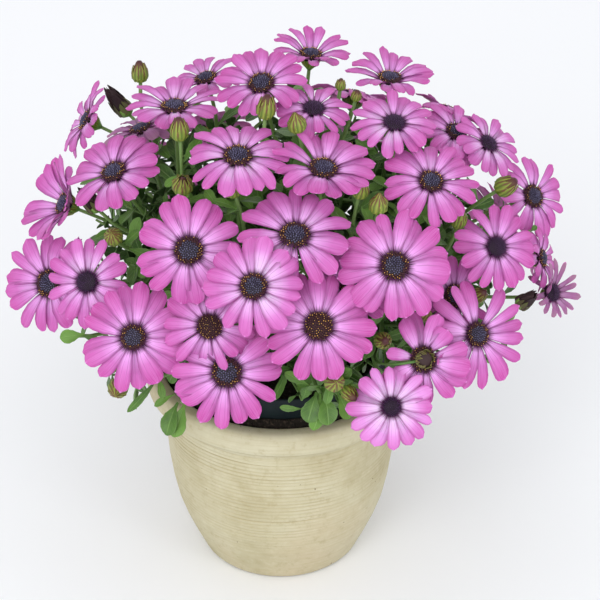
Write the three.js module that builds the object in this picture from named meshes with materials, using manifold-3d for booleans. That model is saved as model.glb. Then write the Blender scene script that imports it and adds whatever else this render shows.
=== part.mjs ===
// A potted osteospermum in full bloom: a domed bush of pink-purple daisy blooms in a stoneware pot.
// Millimetres, +Z up. The origin is the middle of the pot's foot, and -Y is the bush's show side.
import * as THREE from "three";
import { mergeVertices } from "three/addons/utils/BufferGeometryUtils.js";
import Module from "manifold-3d";

const wasm = await Module();
wasm.setup();

const DEG = Math.PI / 180;
const GAP = 0.3; // clearance between pieces that touch on the real plant
const WELD = 1e-3; // points nearer than this are one point
const SLIVER = 0.01; // steps in which slivers are smoothed away where stems and leaves join
const SLIVER_STEPS = 30;

// ---- pot, nursery pot and compost ----
const POT_HEIGHT = 138;
const POT_RIM = 85; // outer radius of the collar
const POT_LIP = 76.8; // radius of the mouth
const POT_FLOOR = 10;
const POT_SIDES = 30;
const RIDGE = 0.5; // height of the turned ridges round the body
const NURSERY_TOP = 154;
const NURSERY_RADIUS = 66;
const NURSERY_FOOT = 44;
const NURSERY_WALL = 1.4;
const NURSERY_SIDES = 20;
const DRAIN = { radius: 5, out: 28, count: 4 };
const COMPOST_TOP = 145;
const PACKING_TOP = 126; // compost packed between the two pots
const CRUMB = 1.3; // how far the compost's lumps stand up

// ---- the line of sight that the bush is laid out along ----
// Blooms and buds are placed as someone sees them who looks down at the pot at this slope, so
// each has an [across, up] place in the plane square to that line, in mm from the pot's mouth.
const SLOPE = 34.4 * DEG;
const SIGHT_DISTANCE = 2500;
const SIGHT_CENTRE = [12.3, 36.7];
const MOUTH = new THREE.Vector3(0, 0, POT_HEIGHT);
const ACROSS = new THREE.Vector3(1, 0, 0);
const UPWARD = new THREE.Vector3(0, Math.sin(SLOPE), Math.cos(SLOPE));
const TOWARD = new THREE.Vector3(0, -Math.cos(SLOPE), Math.sin(SLOPE));

// ---- the dome that the blooms' discs lie on ----
const DOME = new THREE.Vector3(8, 10, 180);
const DOME_RADII = new THREE.Vector3(165, 140, 155);

// ---- blooms ----
// [across, up, how far proud of the dome, radius, facing across, up, toward, petals' cup in degrees]
const SHOWN_BLOOMS = [
  [-122, 150, -2, 26, -0.86, 0.4, 0.31, 4],
  [-67, 158, 2, 31, -0.05, 0.84, 0.54, 6],
  [-47, 176, -26, 25, -0.25, 0.8, 0.54, 6],
  [-12, 173, 8, 29, -0.12, 0.6, 0.79, 8],
  [19, 191, -4, 26, 0.1, 0.84, 0.53, 18],
  [69, 176, 4, 28, 0.08, 0.84, 0.53, 14],
  [-105, 117, 4, 32, -0.36, 0.6, 0.71, 4],
  [-27, 127, 8, 32, 0.02, 0.68, 0.73, 0],
  [21, 157, -6, 24, 0.06, 0.7, 0.71, 0],
  [72, 148, 6, 27, 0.08, 0.66, 0.75, 0],
  [106, 155, -34, 24, 0.45, 0.85, -0.25, 10],
  [131, 135, 2, 24, 0.5, 0.52, 0.69, 0],
  [27, 119, -2, 32, 0.12, 0.7, 0.7, 16],
  [95, 111, 8, 31, 0.18, 0.52, 0.83, 2],
  [159, 102, 4, 27, 0.58, 0.2, 0.79, 2],
  [-136, 97, -4, 28, -0.8, 0.3, 0.52, 30],
  [-58, 68, 4, 34, -0.02, 0.06, 1, 2],
  [9, 77, 4, 35, 0.05, 0.52, 0.85, 2],
  [72, 58, 6, 35, 0.1, 0.2, 0.97, 2],
  [136, 70, 4, 28, 0.36, 0.14, 0.92, 2],
  [164, 63, -16, 21, 0.9, 0.1, 0.42, 10],
  [171, 41, 4, 18, 0.62, 0.12, 0.78, 14],
  [-146, 47, -8, 32, -0.44, 0.12, 0.89, 8],
  [-122, 48, 8, 28, -0.26, 0.06, 0.96, 2],
  [-17, 45, 14, 31, 0.02, 0.24, 0.97, 0],
  [-93, 13, 8, 34, -0.14, 0.02, 0.99, 2],
  [-45, 20, -3, 29, 0, -0.1, 0.99, 0],
  [-34, -9, -2, 35, 0, -0.02, 1, 2],
  [24, 20, 4, 35, 0.04, 0.12, 0.99, 2],
  [124, 15, 2, 35, 0.42, 0, 0.91, 4],
  [90, -1, 2, 30, 0.16, 0.02, 0.99, 4],
  [70, -31, 6, 27, 0.06, -0.04, 1, 2],
  [-88, 144, -22, 26, -0.3, 0.86, 0.41, 0],
  [111, 142, -20, 25, 0.3, 0.62, 0.72, 10],
  [45, 44, -26, 26, 0.1, 0.3, 0.95, 6],
  [110, 39, -22, 26, 0.3, 0.2, 0.93, 6],
];
// The far side carries the rest, spaced out by rule.
const FAR_BLOOMS = 12;
const FAR_TRIES = 4000;
const FAR_SPACING = 54;
const FAR_RADIUS = [27, 33];
const FAR_RISE = [-0.12, 0.85]; // from just under the dome's widest line to near its top
const FAR_REACH = 0.87; // how near the outline they may come, seen along the line of sight
const FAR_LIFT = 0.35; // how far they turn up towards the light
const PETAL_PAIRS = 8; // petals stand in two layers, one pair for each eighth of the disc
const DISC_SHARE = 0.27; // disc radius as a share of the bloom's
const DISC_HALF = 1.4; // half the height of the disc's edge
// How far a petal may lift, in degrees, and how much of its length it keeps: first choice first.
const OPENINGS = [
  [0, 1],
  [6, 1],
  [12, 1],
  [-5, 1],
  [20, 1],
  [30, 1],
  [-11, 1],
  [42, 1],
  [-18, 1],
  [0, 0.8],
  [20, 0.7],
  [-11, 0.7],
];
const PETAL_WANDER = 0.07; // how far a petal may stand off its even place, in radians
const PETAL_REACH = [0.95, 1.02]; // length as a share of the bloom's radius
const PETAL_WAIST = 0.68; // where it is widest, as a share of its length
const PETAL_HALF_WIDTH = 0.17; // there, as a share of the bloom's radius
const PETAL_HALF_TIP = 0.08;
const UPPER_LAYER = { waist: 1.9, tip: 1.2 }; // heights above the middle of the disc's edge
const LOWER_LAYER = { waist: -1.7, tip: -1.5 };
// The florets' rings on the disc: share of its radius, and heights of every second point.
const OUTER_FLORETS = { share: 0.76, heights: [1.8, 2.9] };
const INNER_FLORETS = { share: 0.4, heights: [2.6, 3.6] };
const APEX = 3;

// ---- buds and closing blooms ----
// [across, up, how far proud of the dome, radius, length, facing across, up, toward]
const BUDS = [
  [-89, 181, 0, 5, 14, -0.05, 0.95, 0.3],
  [-9, 159, 16, 5.5, 16, 0.1, 0.8, 0.5],
  [-64, 145, 14, 5.5, 15, -0.05, 0.85, 0.5],
  [-62, 110, -4, 6, 14, 0, 0.6, 0.8],
  [-31, 108, -8, 5.5, 13, -0.3, 0.7, 0.6],
  [10, 149, 6, 5.5, 13, -0.2, 0.8, 0.5],
  [38, 173, -4, 4, 10, 0.1, 0.9, 0.4],
  [48, 166, -4, 4, 9, 0.2, 0.8, 0.5],
  [51, 107, -2, 5, 13, 0.2, 0.7, 0.7],
  [62, 98, 2, 5.5, 14, 0.05, 0.8, 0.6],
  [143, 109, 8, 6, 15, 0.75, 0.4, 0.5],
  [-106, 77, -2, 5.5, 12, -0.2, 0.3, 0.9],
  [34, -15, 0, 6, 13, 0.1, 0, 1],
  [-103, -20, -10, 6, 14, -0.1, -0.5, 0.8],
  [65, 11, -10, 5, 13, 0.2, 0, 1],
  [91, 28, -10, 4.5, 12, 0.3, 0.2, 0.9],
  [126, 40, -12, 4.5, 12, 0.5, 0.3, 0.8],
  [113, 88, -8, 4.5, 13, 0.2, 0.8, 0.6],
  [44, -23, -8, 4.5, 12, 0.5, -0.5, 0.7],
  [-103, 162, -4, 6.5, 24, -0.6, 0.65, 0.4],
  [-121, 100, -4, 6.5, 20, -0.55, 0.6, 0.5],
  [156, 37, -2, 7, 20, 0.2, 0.7, 0.65],
];

// ---- leafy stems ----
const SHOOTS = 7; // round the middle one
const SHOOT_RING = 32; // how far from the middle they are planted
const SHOOT_DEPTH = 24; // how deep they stand in the compost
const SHOOT_RADIUS = 3;
const SHOOT_SIDES = 4;
const CROWN_OUT = 66; // where a shoot's main stem ends
const CROWN_HEIGHT = 216;
const STALK_RADIUS = 1.3;
const STALK_SIDES = 3;
const BRACTS = 6; // points of a calyx, and ribs of a bud
const CALYX_SHARES = [0.88, 0.7]; // every second point, as a share of the disc's radius
const RIB_SHARES = [1.08, 0.9]; // every second rib, as a share of the bud's radius
const STALK_SHARES = [0.95, 0.87, 0.79, 0.71, 0.63, 0.55, 0.99, 0.91, 0.83, 0.75, 0.67, 0.59, 0.5];
const STALK_BOWS = [0, 12, -12, 24, -24, 36, -36]; // mm that a stalk may bow to one side
const SHOOT_RUNS = [0, 0.25, 0.6, 1]; // a shoot's main stem is three straight runs
const STALK_RUNS = [0, 0.5, 1]; // a stalk is two
const CALYX_DEPTH = 8;
const LEAF_TRIES = 70; // places tried on each shoot
const LEAVES_KEPT = 12; // leaves that a shoot ends up with
const LEAF_LENGTH = [20, 30];
const LEAF_THICK = 0.9;
const LEAF_WIDTH = 0.44; // share of its length
const LEAF_DROOP = 0.16; // how far its tip hangs, as a share of its length
const LEAF_RIDGE = 0.55; // where the two sides' middle points stand along it
const LEAF_TROUGH = 0.3; // how far its edges stand up
// The edge's teeth and notches: [share of the length, share of the half width]
const LEAF_LEFT = [
  [0.5, 1],
  [0.62, 0.64],
  [0.79, 0.82],
];
const LEAF_RIGHT = [
  [0.68, 0.94],
  [0.32, 0.54],
];
const ON_STALKS = 0.72; // share of the leaves that stand on stalks, the rest on main stems
const STALK_LEAVES = [0.1, 0.7]; // which part of a stalk carries leaves
const STEM_LEAVES = [0.28, 0.98];
const LEAF_ROOM = 4; // mm that must be free beyond a leaf's tip
// Low leaf tufts that hang over the rim: [across, up, proud of the dome]
const TUFTS = [
  [-66, -36, -26],
  [-82, -24, -16],
  [26, -30, -24],
  [36, -36, -16],
  [-130, 14, 4],
  [158, 80, -4],
];
const TUFT_LEAVES = 3;

// ---- colours ----
const finish = (color, roughness) => new THREE.MeshStandardMaterial({ color, roughness, metalness: 0 });
const STONEWARE = finish(0xd8cfa8, 0.85);
const BLACK_PLASTIC = finish(0x1c2226, 0.45);
const COMPOST = finish(0x231c16, 1);
const GREEN = finish(0x3f6e2a, 0.6);
const PETAL = finish(0xdc78c8, 0.6);

const plant = new THREE.Group();

// A draw between 0 and 1 that depends only on its two numbers.
function draw(seed, turn) {
  const value = Math.sin(seed * 127.1 + turn * 311.7 + 74.7) * 43758.5453;
  return value - Math.floor(value);
}
const between = ([low, high], share) => low + (high - low) * share;

// ---- solids ----
function solidOf(points, faces) {
  const mesh = new wasm.Mesh({
    numProp: 3,
    vertProperties: new Float32Array(points.flatMap((p) => [p.x, p.y, p.z])),
    triVerts: new Uint32Array(faces.flat()),
  });
  return new wasm.Manifold(mesh);
}

function solidOfGeometry(geometry) {
  const bare = geometry.clone();
  bare.deleteAttribute("normal");
  bare.deleteAttribute("uv");
  const merged = mergeVertices(bare, 1e-3);
  return new wasm.Manifold(
    new wasm.Mesh({
      numProp: 3,
      vertProperties: new Float32Array(merged.attributes.position.array),
      triVerts: new Uint32Array(merged.index.array),
    }),
  );
}

function geometryOf(body) {
  const { numProp, vertProperties, triVerts } = body.getMesh();
  const geometry = new THREE.BufferGeometry();
  const places = new Float32Array((vertProperties.length / numProp) * 3);
  for (let i = 0; i < places.length / 3; i++)
    for (let axis = 0; axis < 3; axis++) places[i * 3 + axis] = vertProperties[i * numProp + axis];
  geometry.setAttribute("position", new THREE.BufferAttribute(places, 3));
  geometry.setIndex(new THREE.BufferAttribute(new Uint32Array(triVerts), 1));
  return geometry;
}

function addPiece(name, body, material) {
  const geometry = geometryOf(body);
  geometry.computeVertexNormals();
  const mesh = new THREE.Mesh(geometry, material);
  mesh.name = name;
  plant.add(mesh);
}

// Whether every edge of a body lies between two of its faces, once points that meet are one.
function isSound(body) {
  const corners = mergeVertices(geometryOf(body), WELD).index.array;
  const uses = new Map();
  for (let first = 0; first < corners.length; first += 3)
    for (let i = 0; i < 3; i++) {
      const edge = [corners[first + i], corners[first + ((i + 1) % 3)]].sort().join();
      uses.set(edge, (uses.get(edge) ?? 0) + 1);
    }
  return [...uses.values()].every((count) => count === 2);
}

// One body from several: hollows and loose scraps are dropped, and slivers are smoothed away.
function joined(parts) {
  const pieces = parts.reduce((all, part) => all.add(part)).decompose();
  const whole = pieces.reduce((best, piece) => (piece.volume() > best.volume() ? piece : best));
  let body = whole;
  for (let step = 1; step <= SLIVER_STEPS && !isSound(body); step++) body = whole.simplify(step * SLIVER);
  return body;
}

// ---- what stands where, for keeping pieces clear of each other ----
const standing = [];

function boxOf(body) {
  const { min, max } = body.boundingBox();
  return [min, max];
}

function boxesMeet([lowA, highA], [lowB, highB], margin) {
  return [0, 1, 2].every((axis) => lowA[axis] - margin < highB[axis] && lowB[axis] - margin < highA[axis]);
}

function stand(body, owner) {
  standing.push({ body, owner, box: boxOf(body) });
}

// Whether a body, also moved a little along a direction either way, is clear of what stands.
function isClear(body, direction, ignored, step = 2 * GAP) {
  const box = boxOf(body);
  const near = standing.filter((other) => boxesMeet(box, other.box, step) && !ignored(other.owner));
  if (near.length === 0) return true;
  for (const shift of [0, step, -step]) {
    const moved = body.translate(direction.x * shift, direction.y * shift, direction.z * shift);
    for (const other of near) {
      const shared = moved.intersect(other.body);
      const volume = shared.isEmpty() ? 0 : shared.volume();
      shared.delete();
      if (volume > 1e-3) {
        moved.delete();
        return false;
      }
    }
    moved.delete();
  }
  return true;
}

// ---- skins over rings of points ----
// A ring may have as many points as the one before, twice as many or half as many.
function ringFaces(a, sizeA, b, sizeB) {
  const faces = [];
  const at = (start, size, i) => start + (i % size);
  if (sizeA === sizeB)
    for (let i = 0; i < sizeA; i++) {
      faces.push([at(a, sizeA, i), at(a, sizeA, i + 1), at(b, sizeB, i + 1)]);
      faces.push([at(a, sizeA, i), at(b, sizeB, i + 1), at(b, sizeB, i)]);
    }
  else if (sizeB === 2 * sizeA)
    for (let i = 0; i < sizeA; i++) {
      faces.push([at(a, sizeA, i), at(a, sizeA, i + 1), at(b, sizeB, 2 * i + 1)]);
      faces.push([at(a, sizeA, i), at(b, sizeB, 2 * i + 1), at(b, sizeB, 2 * i)]);
      faces.push([at(a, sizeA, i + 1), at(b, sizeB, 2 * i + 2), at(b, sizeB, 2 * i + 1)]);
    }
  else
    for (let i = 0; i < sizeB; i++) {
      faces.push([at(a, sizeA, 2 * i), at(a, sizeA, 2 * i + 1), at(b, sizeB, i)]);
      faces.push([at(a, sizeA, 2 * i + 1), at(a, sizeA, 2 * i + 2), at(b, sizeB, i + 1)]);
      faces.push([at(a, sizeA, 2 * i + 1), at(b, sizeB, i + 1), at(b, sizeB, i)]);
    }
  return faces;
}

function skin(rings) {
  const points = rings.flat();
  const faces = [];
  const starts = [];
  let start = 0;
  for (const ring of rings) {
    starts.push(start);
    start += ring.length;
  }
  for (let i = 1; i < rings[0].length - 1; i++) faces.push([0, i + 1, i]);
  for (let r = 1; r < rings.length; r++)
    faces.push(...ringFaces(starts[r - 1], rings[r - 1].length, starts[r], rings[r].length));
  const end = starts.at(-1);
  for (let i = 1; i < rings.at(-1).length - 1; i++) faces.push([end, end + i, end + i + 1]);
  return solidOf(points, faces);
}

// Two directions square to each other and to a third one.
function squareTo(direction, hint = UPWARD) {
  const side = new THREE.Vector3().crossVectors(direction, hint);
  if (side.length() < 0.1) side.crossVectors(direction, ACROSS);
  side.normalize();
  return [side, new THREE.Vector3().crossVectors(direction, side).normalize()];
}

function ringAt(centre, direction, radii, hint) {
  const [u, v] = squareTo(direction, hint);
  return radii.map((radius, i) => {
    const angle = (i / radii.length) * 2 * Math.PI;
    return centre
      .clone()
      .addScaledVector(u, radius * Math.cos(angle))
      .addScaledVector(v, radius * Math.sin(angle));
  });
}

// ---- pot ----
function turned(profile, sides) {
  return new THREE.LatheGeometry(
    profile.map(([radius, height]) => new THREE.Vector2(radius, height)),
    sides,
  ).rotateX(Math.PI / 2);
}

function makePot() {
  const outside = [
    [0, 0],
    [45, 0],
    [50, 3],
    [57, 17],
    [62, 29],
    [66, 41],
    [69, 55],
    [71.2, 70],
    [72.6, 86],
    [73.4, 103],
    [74.5, 119],
  ].map(([radius, height], i) => [i > 2 ? radius + (i % 2 ? RIDGE : -RIDGE) : radius, height]);
  const collar = [
    [POT_RIM - 2.2, 120.4],
    [POT_RIM, 125],
    [POT_RIM, 134],
    [POT_RIM - 2, POT_HEIGHT],
    [POT_LIP + 1, POT_HEIGHT],
    [POT_LIP, 135],
  ];
  const inside = [
    [POT_LIP - 3, 112],
    [62, 46],
    [48, POT_FLOOR],
    [0, POT_FLOOR],
  ];
  return solidOfGeometry(turned([...outside, ...collar, ...inside], POT_SIDES));
}

function makeNurseryPot() {
  const foot = POT_FLOOR + GAP;
  const wall = NURSERY_WALL;
  const profile = [
    [0, foot],
    [NURSERY_FOOT, foot],
    [NURSERY_RADIUS - 2, NURSERY_TOP - 16],
    [NURSERY_RADIUS + 1.4, NURSERY_TOP - 15],
    [NURSERY_RADIUS + 2, NURSERY_TOP],
    [NURSERY_RADIUS, NURSERY_TOP],
    [NURSERY_RADIUS - 2 - wall, NURSERY_TOP - 15],
    [NURSERY_FOOT - wall, foot + 2],
    [0, foot + 2],
  ];
  let body = solidOfGeometry(turned(profile, NURSERY_SIDES));
  for (let i = 0; i < DRAIN.count; i++) {
    const angle = (i / DRAIN.count) * 2 * Math.PI;
    const centre = new THREE.Vector3(Math.cos(angle) * DRAIN.out, Math.sin(angle) * DRAIN.out, foot - 1);
    const radii = Array(6).fill(DRAIN.radius);
    const up = new THREE.Vector3(0, 0, 1);
    body = body.subtract(
      skin([ringAt(centre, up, radii), ringAt(centre.clone().setZ(foot + 4), up, radii)]),
    );
  }
  return body;
}

// Compost's top is raised and sunk from crumb to crumb.
function crumbled(profile, sides, topFrom) {
  const geometry = turned(profile, sides);
  geometry.deleteAttribute("normal");
  geometry.deleteAttribute("uv");
  const merged = mergeVertices(geometry, 1e-3);
  const places = merged.attributes.position;
  for (let i = 0; i < places.count; i++)
    if (places.getZ(i) > topFrom)
      places.setZ(i, places.getZ(i) + CRUMB * (2 * draw(3, i) - 1));
  return solidOfGeometry(merged);
}

function nurseryInside(height) {
  const foot = POT_FLOOR + GAP + 2;
  const share = (height - foot) / (NURSERY_TOP - 15 - foot);
  return NURSERY_FOOT - NURSERY_WALL + share * (NURSERY_RADIUS - 2 - NURSERY_FOOT) - 3 * GAP;
}

function makeCompost() {
  const foot = POT_FLOOR + 2 + 2 * GAP;
  const edge = nurseryInside(COMPOST_TOP - 3) - 1;
  const profile = [
    [0, foot],
    [nurseryInside(foot), foot],
    [edge, COMPOST_TOP - 3],
    [edge - 18, COMPOST_TOP],
    [edge - 38, COMPOST_TOP + 1],
    [0, COMPOST_TOP + 2],
  ];
  return crumbled(profile, NURSERY_SIDES, COMPOST_TOP - 4);
}

function makePacking() {
  const low = 60;
  const inner = (height) => nurseryInside(height) + NURSERY_WALL + 6 * GAP;
  const profile = [
    [inner(low), low],
    [62.5, low],
    [POT_LIP - 4.4, PACKING_TOP - 14],
    [POT_LIP - 4, PACKING_TOP],
    [inner(PACKING_TOP) + 2.6, PACKING_TOP + 1.5],
    [inner(PACKING_TOP), PACKING_TOP],
    [inner(low), low],
  ];
  return crumbled(profile, NURSERY_SIDES, PACKING_TOP - 3);
}

// ---- places on the dome ----
function placeAt(across, up, depth) {
  const scale = 1 - depth / SIGHT_DISTANCE;
  return MOUTH.clone()
    .addScaledVector(ACROSS, SIGHT_CENTRE[0] + (across - SIGHT_CENTRE[0]) * scale)
    .addScaledVector(UPWARD, SIGHT_CENTRE[1] + (up - SIGHT_CENTRE[1]) * scale)
    .addScaledVector(TOWARD, depth);
}

// The near point where the line of sight at [across, up] meets the dome, or passes it closest.
function domeDepth(across, up) {
  let depth = 100;
  for (let pass = 0; pass < 4; pass++) {
    const start = placeAt(across, up, depth).addScaledVector(TOWARD, -depth).sub(DOME).divide(DOME_RADII);
    const along = TOWARD.clone().divide(DOME_RADII);
    const a = along.dot(along);
    const b = along.dot(start);
    const c = start.dot(start) - 1;
    depth = (-b + Math.sqrt(Math.max(0, b * b - a * c))) / a;
  }
  return depth;
}

function sightVector(across, up, toward) {
  return new THREE.Vector3()
    .addScaledVector(ACROSS, across)
    .addScaledVector(UPWARD, up)
    .addScaledVector(TOWARD, toward)
    .normalize();
}

function shownBlooms() {
  return SHOWN_BLOOMS.map(([across, up, proud, radius, fx, fy, fz, cup]) => ({
    centre: placeAt(across, up, domeDepth(across, up) + proud),
    facing: sightVector(fx, fy, fz),
    radius,
    cup: cup * DEG,
  }));
}

// Far blooms stand where the near ones hide them, apart from each other and from all the rest.
function farBlooms(others) {
  const found = [];
  const tall = Math.hypot(DOME_RADII.y * UPWARD.y, DOME_RADII.z * UPWARD.z);
  for (let i = 0; found.length < FAR_BLOOMS && i < FAR_TRIES; i++) {
    const rise = between(FAR_RISE, draw(i, 4));
    const turn = 2 * Math.PI * draw(i, 7);
    const flat = Math.sqrt(1 - rise * rise);
    const outward = new THREE.Vector3(flat * Math.cos(turn), flat * Math.sin(turn), rise);
    const normal = outward.clone().divide(DOME_RADII).normalize();
    const offset = outward.clone().multiply(DOME_RADII);
    const reach = Math.hypot(offset.x / DOME_RADII.x, offset.dot(UPWARD) / tall);
    const centre = DOME.clone().addScaledVector(offset, Math.min(1, FAR_REACH / reach));
    const hidden = normal.dot(TOWARD) < -0.1 && reach < FAR_REACH * 1.2;
    const apart = [...others, ...found].every((bloom) => bloom.centre.distanceTo(centre) > FAR_SPACING);
    if (!hidden || !apart) continue;
    const radius = between(FAR_RADIUS, draw(i, 5));
    const facing = normal.clone().add(new THREE.Vector3(0, 0, FAR_LIFT)).normalize();
    found.push({ centre, facing, radius, cup: 8 * DEG * draw(i, 6) });
  }
  return found;
}

// ---- blooms ----
// A bloom's own frame: u and v across its disc, n the way it faces.
function bloomPoint(bloom, out, angle, height) {
  return bloom.centre
    .clone()
    .addScaledVector(bloom.u, out * Math.cos(angle))
    .addScaledVector(bloom.v, out * Math.sin(angle))
    .addScaledVector(bloom.facing, height);
}

function discRings(bloom) {
  const step = (2 * Math.PI) / PETAL_PAIRS;
  const disc = bloom.radius * DISC_SHARE;
  const upper = [];
  const lower = [];
  for (let k = 0; k < PETAL_PAIRS; k++) {
    upper.push(bloomPoint(bloom, disc, k * step, DISC_HALF));
    lower.push(bloomPoint(bloom, disc, (k + 0.5) * step, -DISC_HALF));
  }
  return { upper, lower };
}

// The four outer corners of a petal. Slots 0, 2, 4 ... are the lower layer, the rest the upper.
function petalCorners(bloom, slot, bend, shrink) {
  const raised = slot % 2 === 1;
  const step = Math.PI / PETAL_PAIRS;
  const middle = slot * step + (draw(bloom.number, slot) - 0.5) * PETAL_WANDER;
  const { radius } = bloom;
  const disc = radius * DISC_SHARE;
  const length = radius * shrink * between(PETAL_REACH, draw(bloom.number, slot + 40));
  const rise = Math.tan(bloom.cup + (raised ? bend : -bend));
  const corner = (out, side, height) =>
    bloomPoint(bloom, Math.hypot(out, side), middle + Math.atan2(side, out), height + (out - disc) * rise);
  const wide = radius * PETAL_HALF_WIDTH;
  const narrow = radius * PETAL_HALF_TIP;
  const { waist, tip } = raised ? UPPER_LAYER : LOWER_LAYER;
  return [
    corner(length * PETAL_WAIST, -wide, waist),
    corner(length, -narrow, tip),
    corner(length, narrow, tip),
    corner(length * PETAL_WAIST, wide, waist),
  ];
}

// Faces of a petal whose root triangle is a, b and keel, and whose outer corners start at p.
function petalFaces(a, b, keel, p, raised) {
  const [p1, p2, p3, p4] = [p, p + 1, p + 2, p + 3];
  const faces = [
    [a, p1, p4],
    [a, p4, b],
    [p1, p2, p3],
    [p1, p3, p4],
    [keel, b, p4],
    [keel, p4, p3],
    [keel, p3, p2],
    [keel, p2, p1],
    [keel, p1, a],
  ];
  return raised ? faces : faces.map(([first, second, third]) => [first, third, second]);
}

// Which of the disc's edge points carry the petal in a slot.
function petalRoot(slot) {
  const raised = slot % 2 === 1;
  const k = (slot - (raised ? 1 : 2)) / 2;
  const at = (i) => ((i % PETAL_PAIRS) + PETAL_PAIRS) % PETAL_PAIRS;
  return { raised, a: at(k), b: at(k + 1), keel: raised ? at(k) : at(k + 1) };
}

function petalSolid(bloom, slot, bend, shrink) {
  const { upper, lower } = discRings(bloom);
  const { raised, a, b, keel } = petalRoot(slot);
  const edge = raised ? upper : lower;
  const points = [edge[a], edge[b], (raised ? lower : upper)[keel], ...petalCorners(bloom, slot, bend, shrink)];
  const root = raised ? [0, 1, 2] : [1, 0, 2];
  return solidOf(points, [...petalFaces(0, 1, 2, 3, raised), root]);
}

// The whole bloom as one skin: disc with raised florets, and each petal grown out of the edge.
function bloomSolid(bloom, petals) {
  const { upper, lower } = discRings(bloom);
  const points = [...upper, ...lower];
  const faces = [];
  const step = (2 * Math.PI) / PETAL_PAIRS;
  const disc = bloom.radius * DISC_SHARE;
  const outer = points.length;
  for (let k = 0; k < PETAL_PAIRS; k++)
    points.push(bloomPoint(bloom, disc * OUTER_FLORETS.share, k * step, OUTER_FLORETS.heights[k % 2]));
  const inner = points.length;
  for (let k = 0; k < PETAL_PAIRS / 2; k++)
    points.push(bloomPoint(bloom, disc * INNER_FLORETS.share, 2 * k * step, INNER_FLORETS.heights[k % 2]));
  const apex = points.length;
  points.push(bloomPoint(bloom, 0, 0, APEX));
  faces.push(...ringFaces(0, PETAL_PAIRS, outer, PETAL_PAIRS));
  faces.push(...ringFaces(outer, PETAL_PAIRS, inner, PETAL_PAIRS / 2));
  for (let k = 0; k < PETAL_PAIRS / 2; k++)
    faces.push([inner + k, inner + ((k + 1) % (PETAL_PAIRS / 2)), apex]);
  for (let i = 1; i < PETAL_PAIRS - 1; i++) faces.push([PETAL_PAIRS, PETAL_PAIRS + i + 1, PETAL_PAIRS + i]);
  for (let slot = 0; slot < 2 * PETAL_PAIRS; slot++) {
    const { raised, a, b, keel } = petalRoot(slot);
    const [from, to, ridge] = raised
      ? [a, b, PETAL_PAIRS + keel]
      : [PETAL_PAIRS + a, PETAL_PAIRS + b, keel];
    const petal = petals[slot];
    if (!petal) {
      faces.push(raised ? [to, from, ridge] : [from, to, ridge]);
      continue;
    }
    const p = points.length;
    points.push(...petalCorners(bloom, slot, petal.bend, petal.shrink));
    faces.push(...petalFaces(from, to, ridge, p, raised));
  }
  return solidOf(points, faces);
}

// The flat round that a bloom's petals will fill, which stalks keep out of where they can.
function saucer(bloom) {
  const radii = Array(8).fill(bloom.radius * 0.85);
  const low = bloom.centre.clone().addScaledVector(bloom.facing, -DISC_HALF);
  const high = bloom.centre.clone().addScaledVector(bloom.facing, DISC_HALF);
  return skin([ringAt(low, bloom.facing, radii), ringAt(high, bloom.facing, radii)]);
}

function openPetals(bloom) {
  const petals = Array(2 * PETAL_PAIRS).fill(null);
  const order = [...petals.keys()].sort((p, q) => (p % 2) - (q % 2) || p - q);
  for (const slot of order)
    for (const [bend, shrink] of OPENINGS) {
      const body = petalSolid(bloom, slot, bend * DEG, shrink);
      const others = (owner) => owner === bloom.name || owner.startsWith("saucer");
      const own = (owner) => owner !== bloom.name;
      if (isClear(body, bloom.facing, others) && isClear(body, bloom.facing, own, 0)) {
        petals[slot] = { bend: bend * DEG, shrink };
        stand(body, bloom.name);
        break;
      }
      body.delete();
    }
  return petals;
}

// ---- stems ----
function shootCurve(root, crown) {
  const above = root.clone().setZ(root.z + 0.55 * (crown.z - root.z));
  return new THREE.QuadraticBezierCurve3(root, above, crown);
}

// A place on the straight runs that a curve is made of, and their direction there.
function onRun(curve, share, shares) {
  const i = shares.findIndex((end) => share <= end);
  const [from, to] = [curve.getPoint(shares[i - 1]), curve.getPoint(shares[i])];
  const part = (share - shares[i - 1]) / (shares[i] - shares[i - 1]);
  return { foot: from.clone().lerp(to, part), tangent: to.clone().sub(from).normalize() };
}

function tubeAlong(curve, shares, radii, sides) {
  const ring = (share, i) => ringAt(curve.getPoint(share), curve.getTangent(share), Array(sides).fill(radii[i]));
  return skin(shares.map(ring));
}

// A stalk from a place on its shoot to the neck of what it carries.
function stalkCurve(start, away, neck, facing) {
  const reach = start.distanceTo(neck);
  return new THREE.CubicBezierCurve3(
    start,
    start.clone().addScaledVector(away, reach * 0.35),
    neck.clone().addScaledVector(facing, -reach * 0.4),
    neck,
  );
}

function stalkRings(curve, from) {
  const radii = Array(STALK_SIDES).fill(STALK_RADIUS);
  const shares = [from, ...STALK_RUNS.slice(1)];
  return shares.map((share) => ringAt(curve.getPoint(share), curve.getTangent(share), radii));
}

// A bloom's stalk widens into a cup of pointed bracts under the disc.
function bloomStalk(bloom, curve, from) {
  const cup = bloom.radius * DISC_SHARE;
  const rim = bloom.centre.clone().addScaledVector(bloom.facing, -DISC_HALF - 1.5 * GAP);
  const radii = Array.from({ length: BRACTS }, (_, i) => CALYX_SHARES[i % 2] * cup);
  return skin([...stalkRings(curve, from), ringAt(rim, bloom.facing, radii)]);
}

function budStalk(bud, curve, from) {
  const { centre, facing, radius, length } = bud;
  const belly = centre.clone().addScaledVector(facing, -length * 0.1);
  const mouth = centre.clone().addScaledVector(facing, length * 0.5);
  const ribs = Array.from({ length: BRACTS }, (_, i) => RIB_SHARES[i % 2] * radius);
  return skin([
    ...stalkRings(curve, from),
    ringAt(belly, facing, ribs),
    ringAt(mouth, facing, Array(STALK_SIDES).fill(radius * 0.55)),
  ]);
}

function tuftStalk(tuft, curve, from) {
  return skin(stalkRings(curve, from));
}

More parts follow.
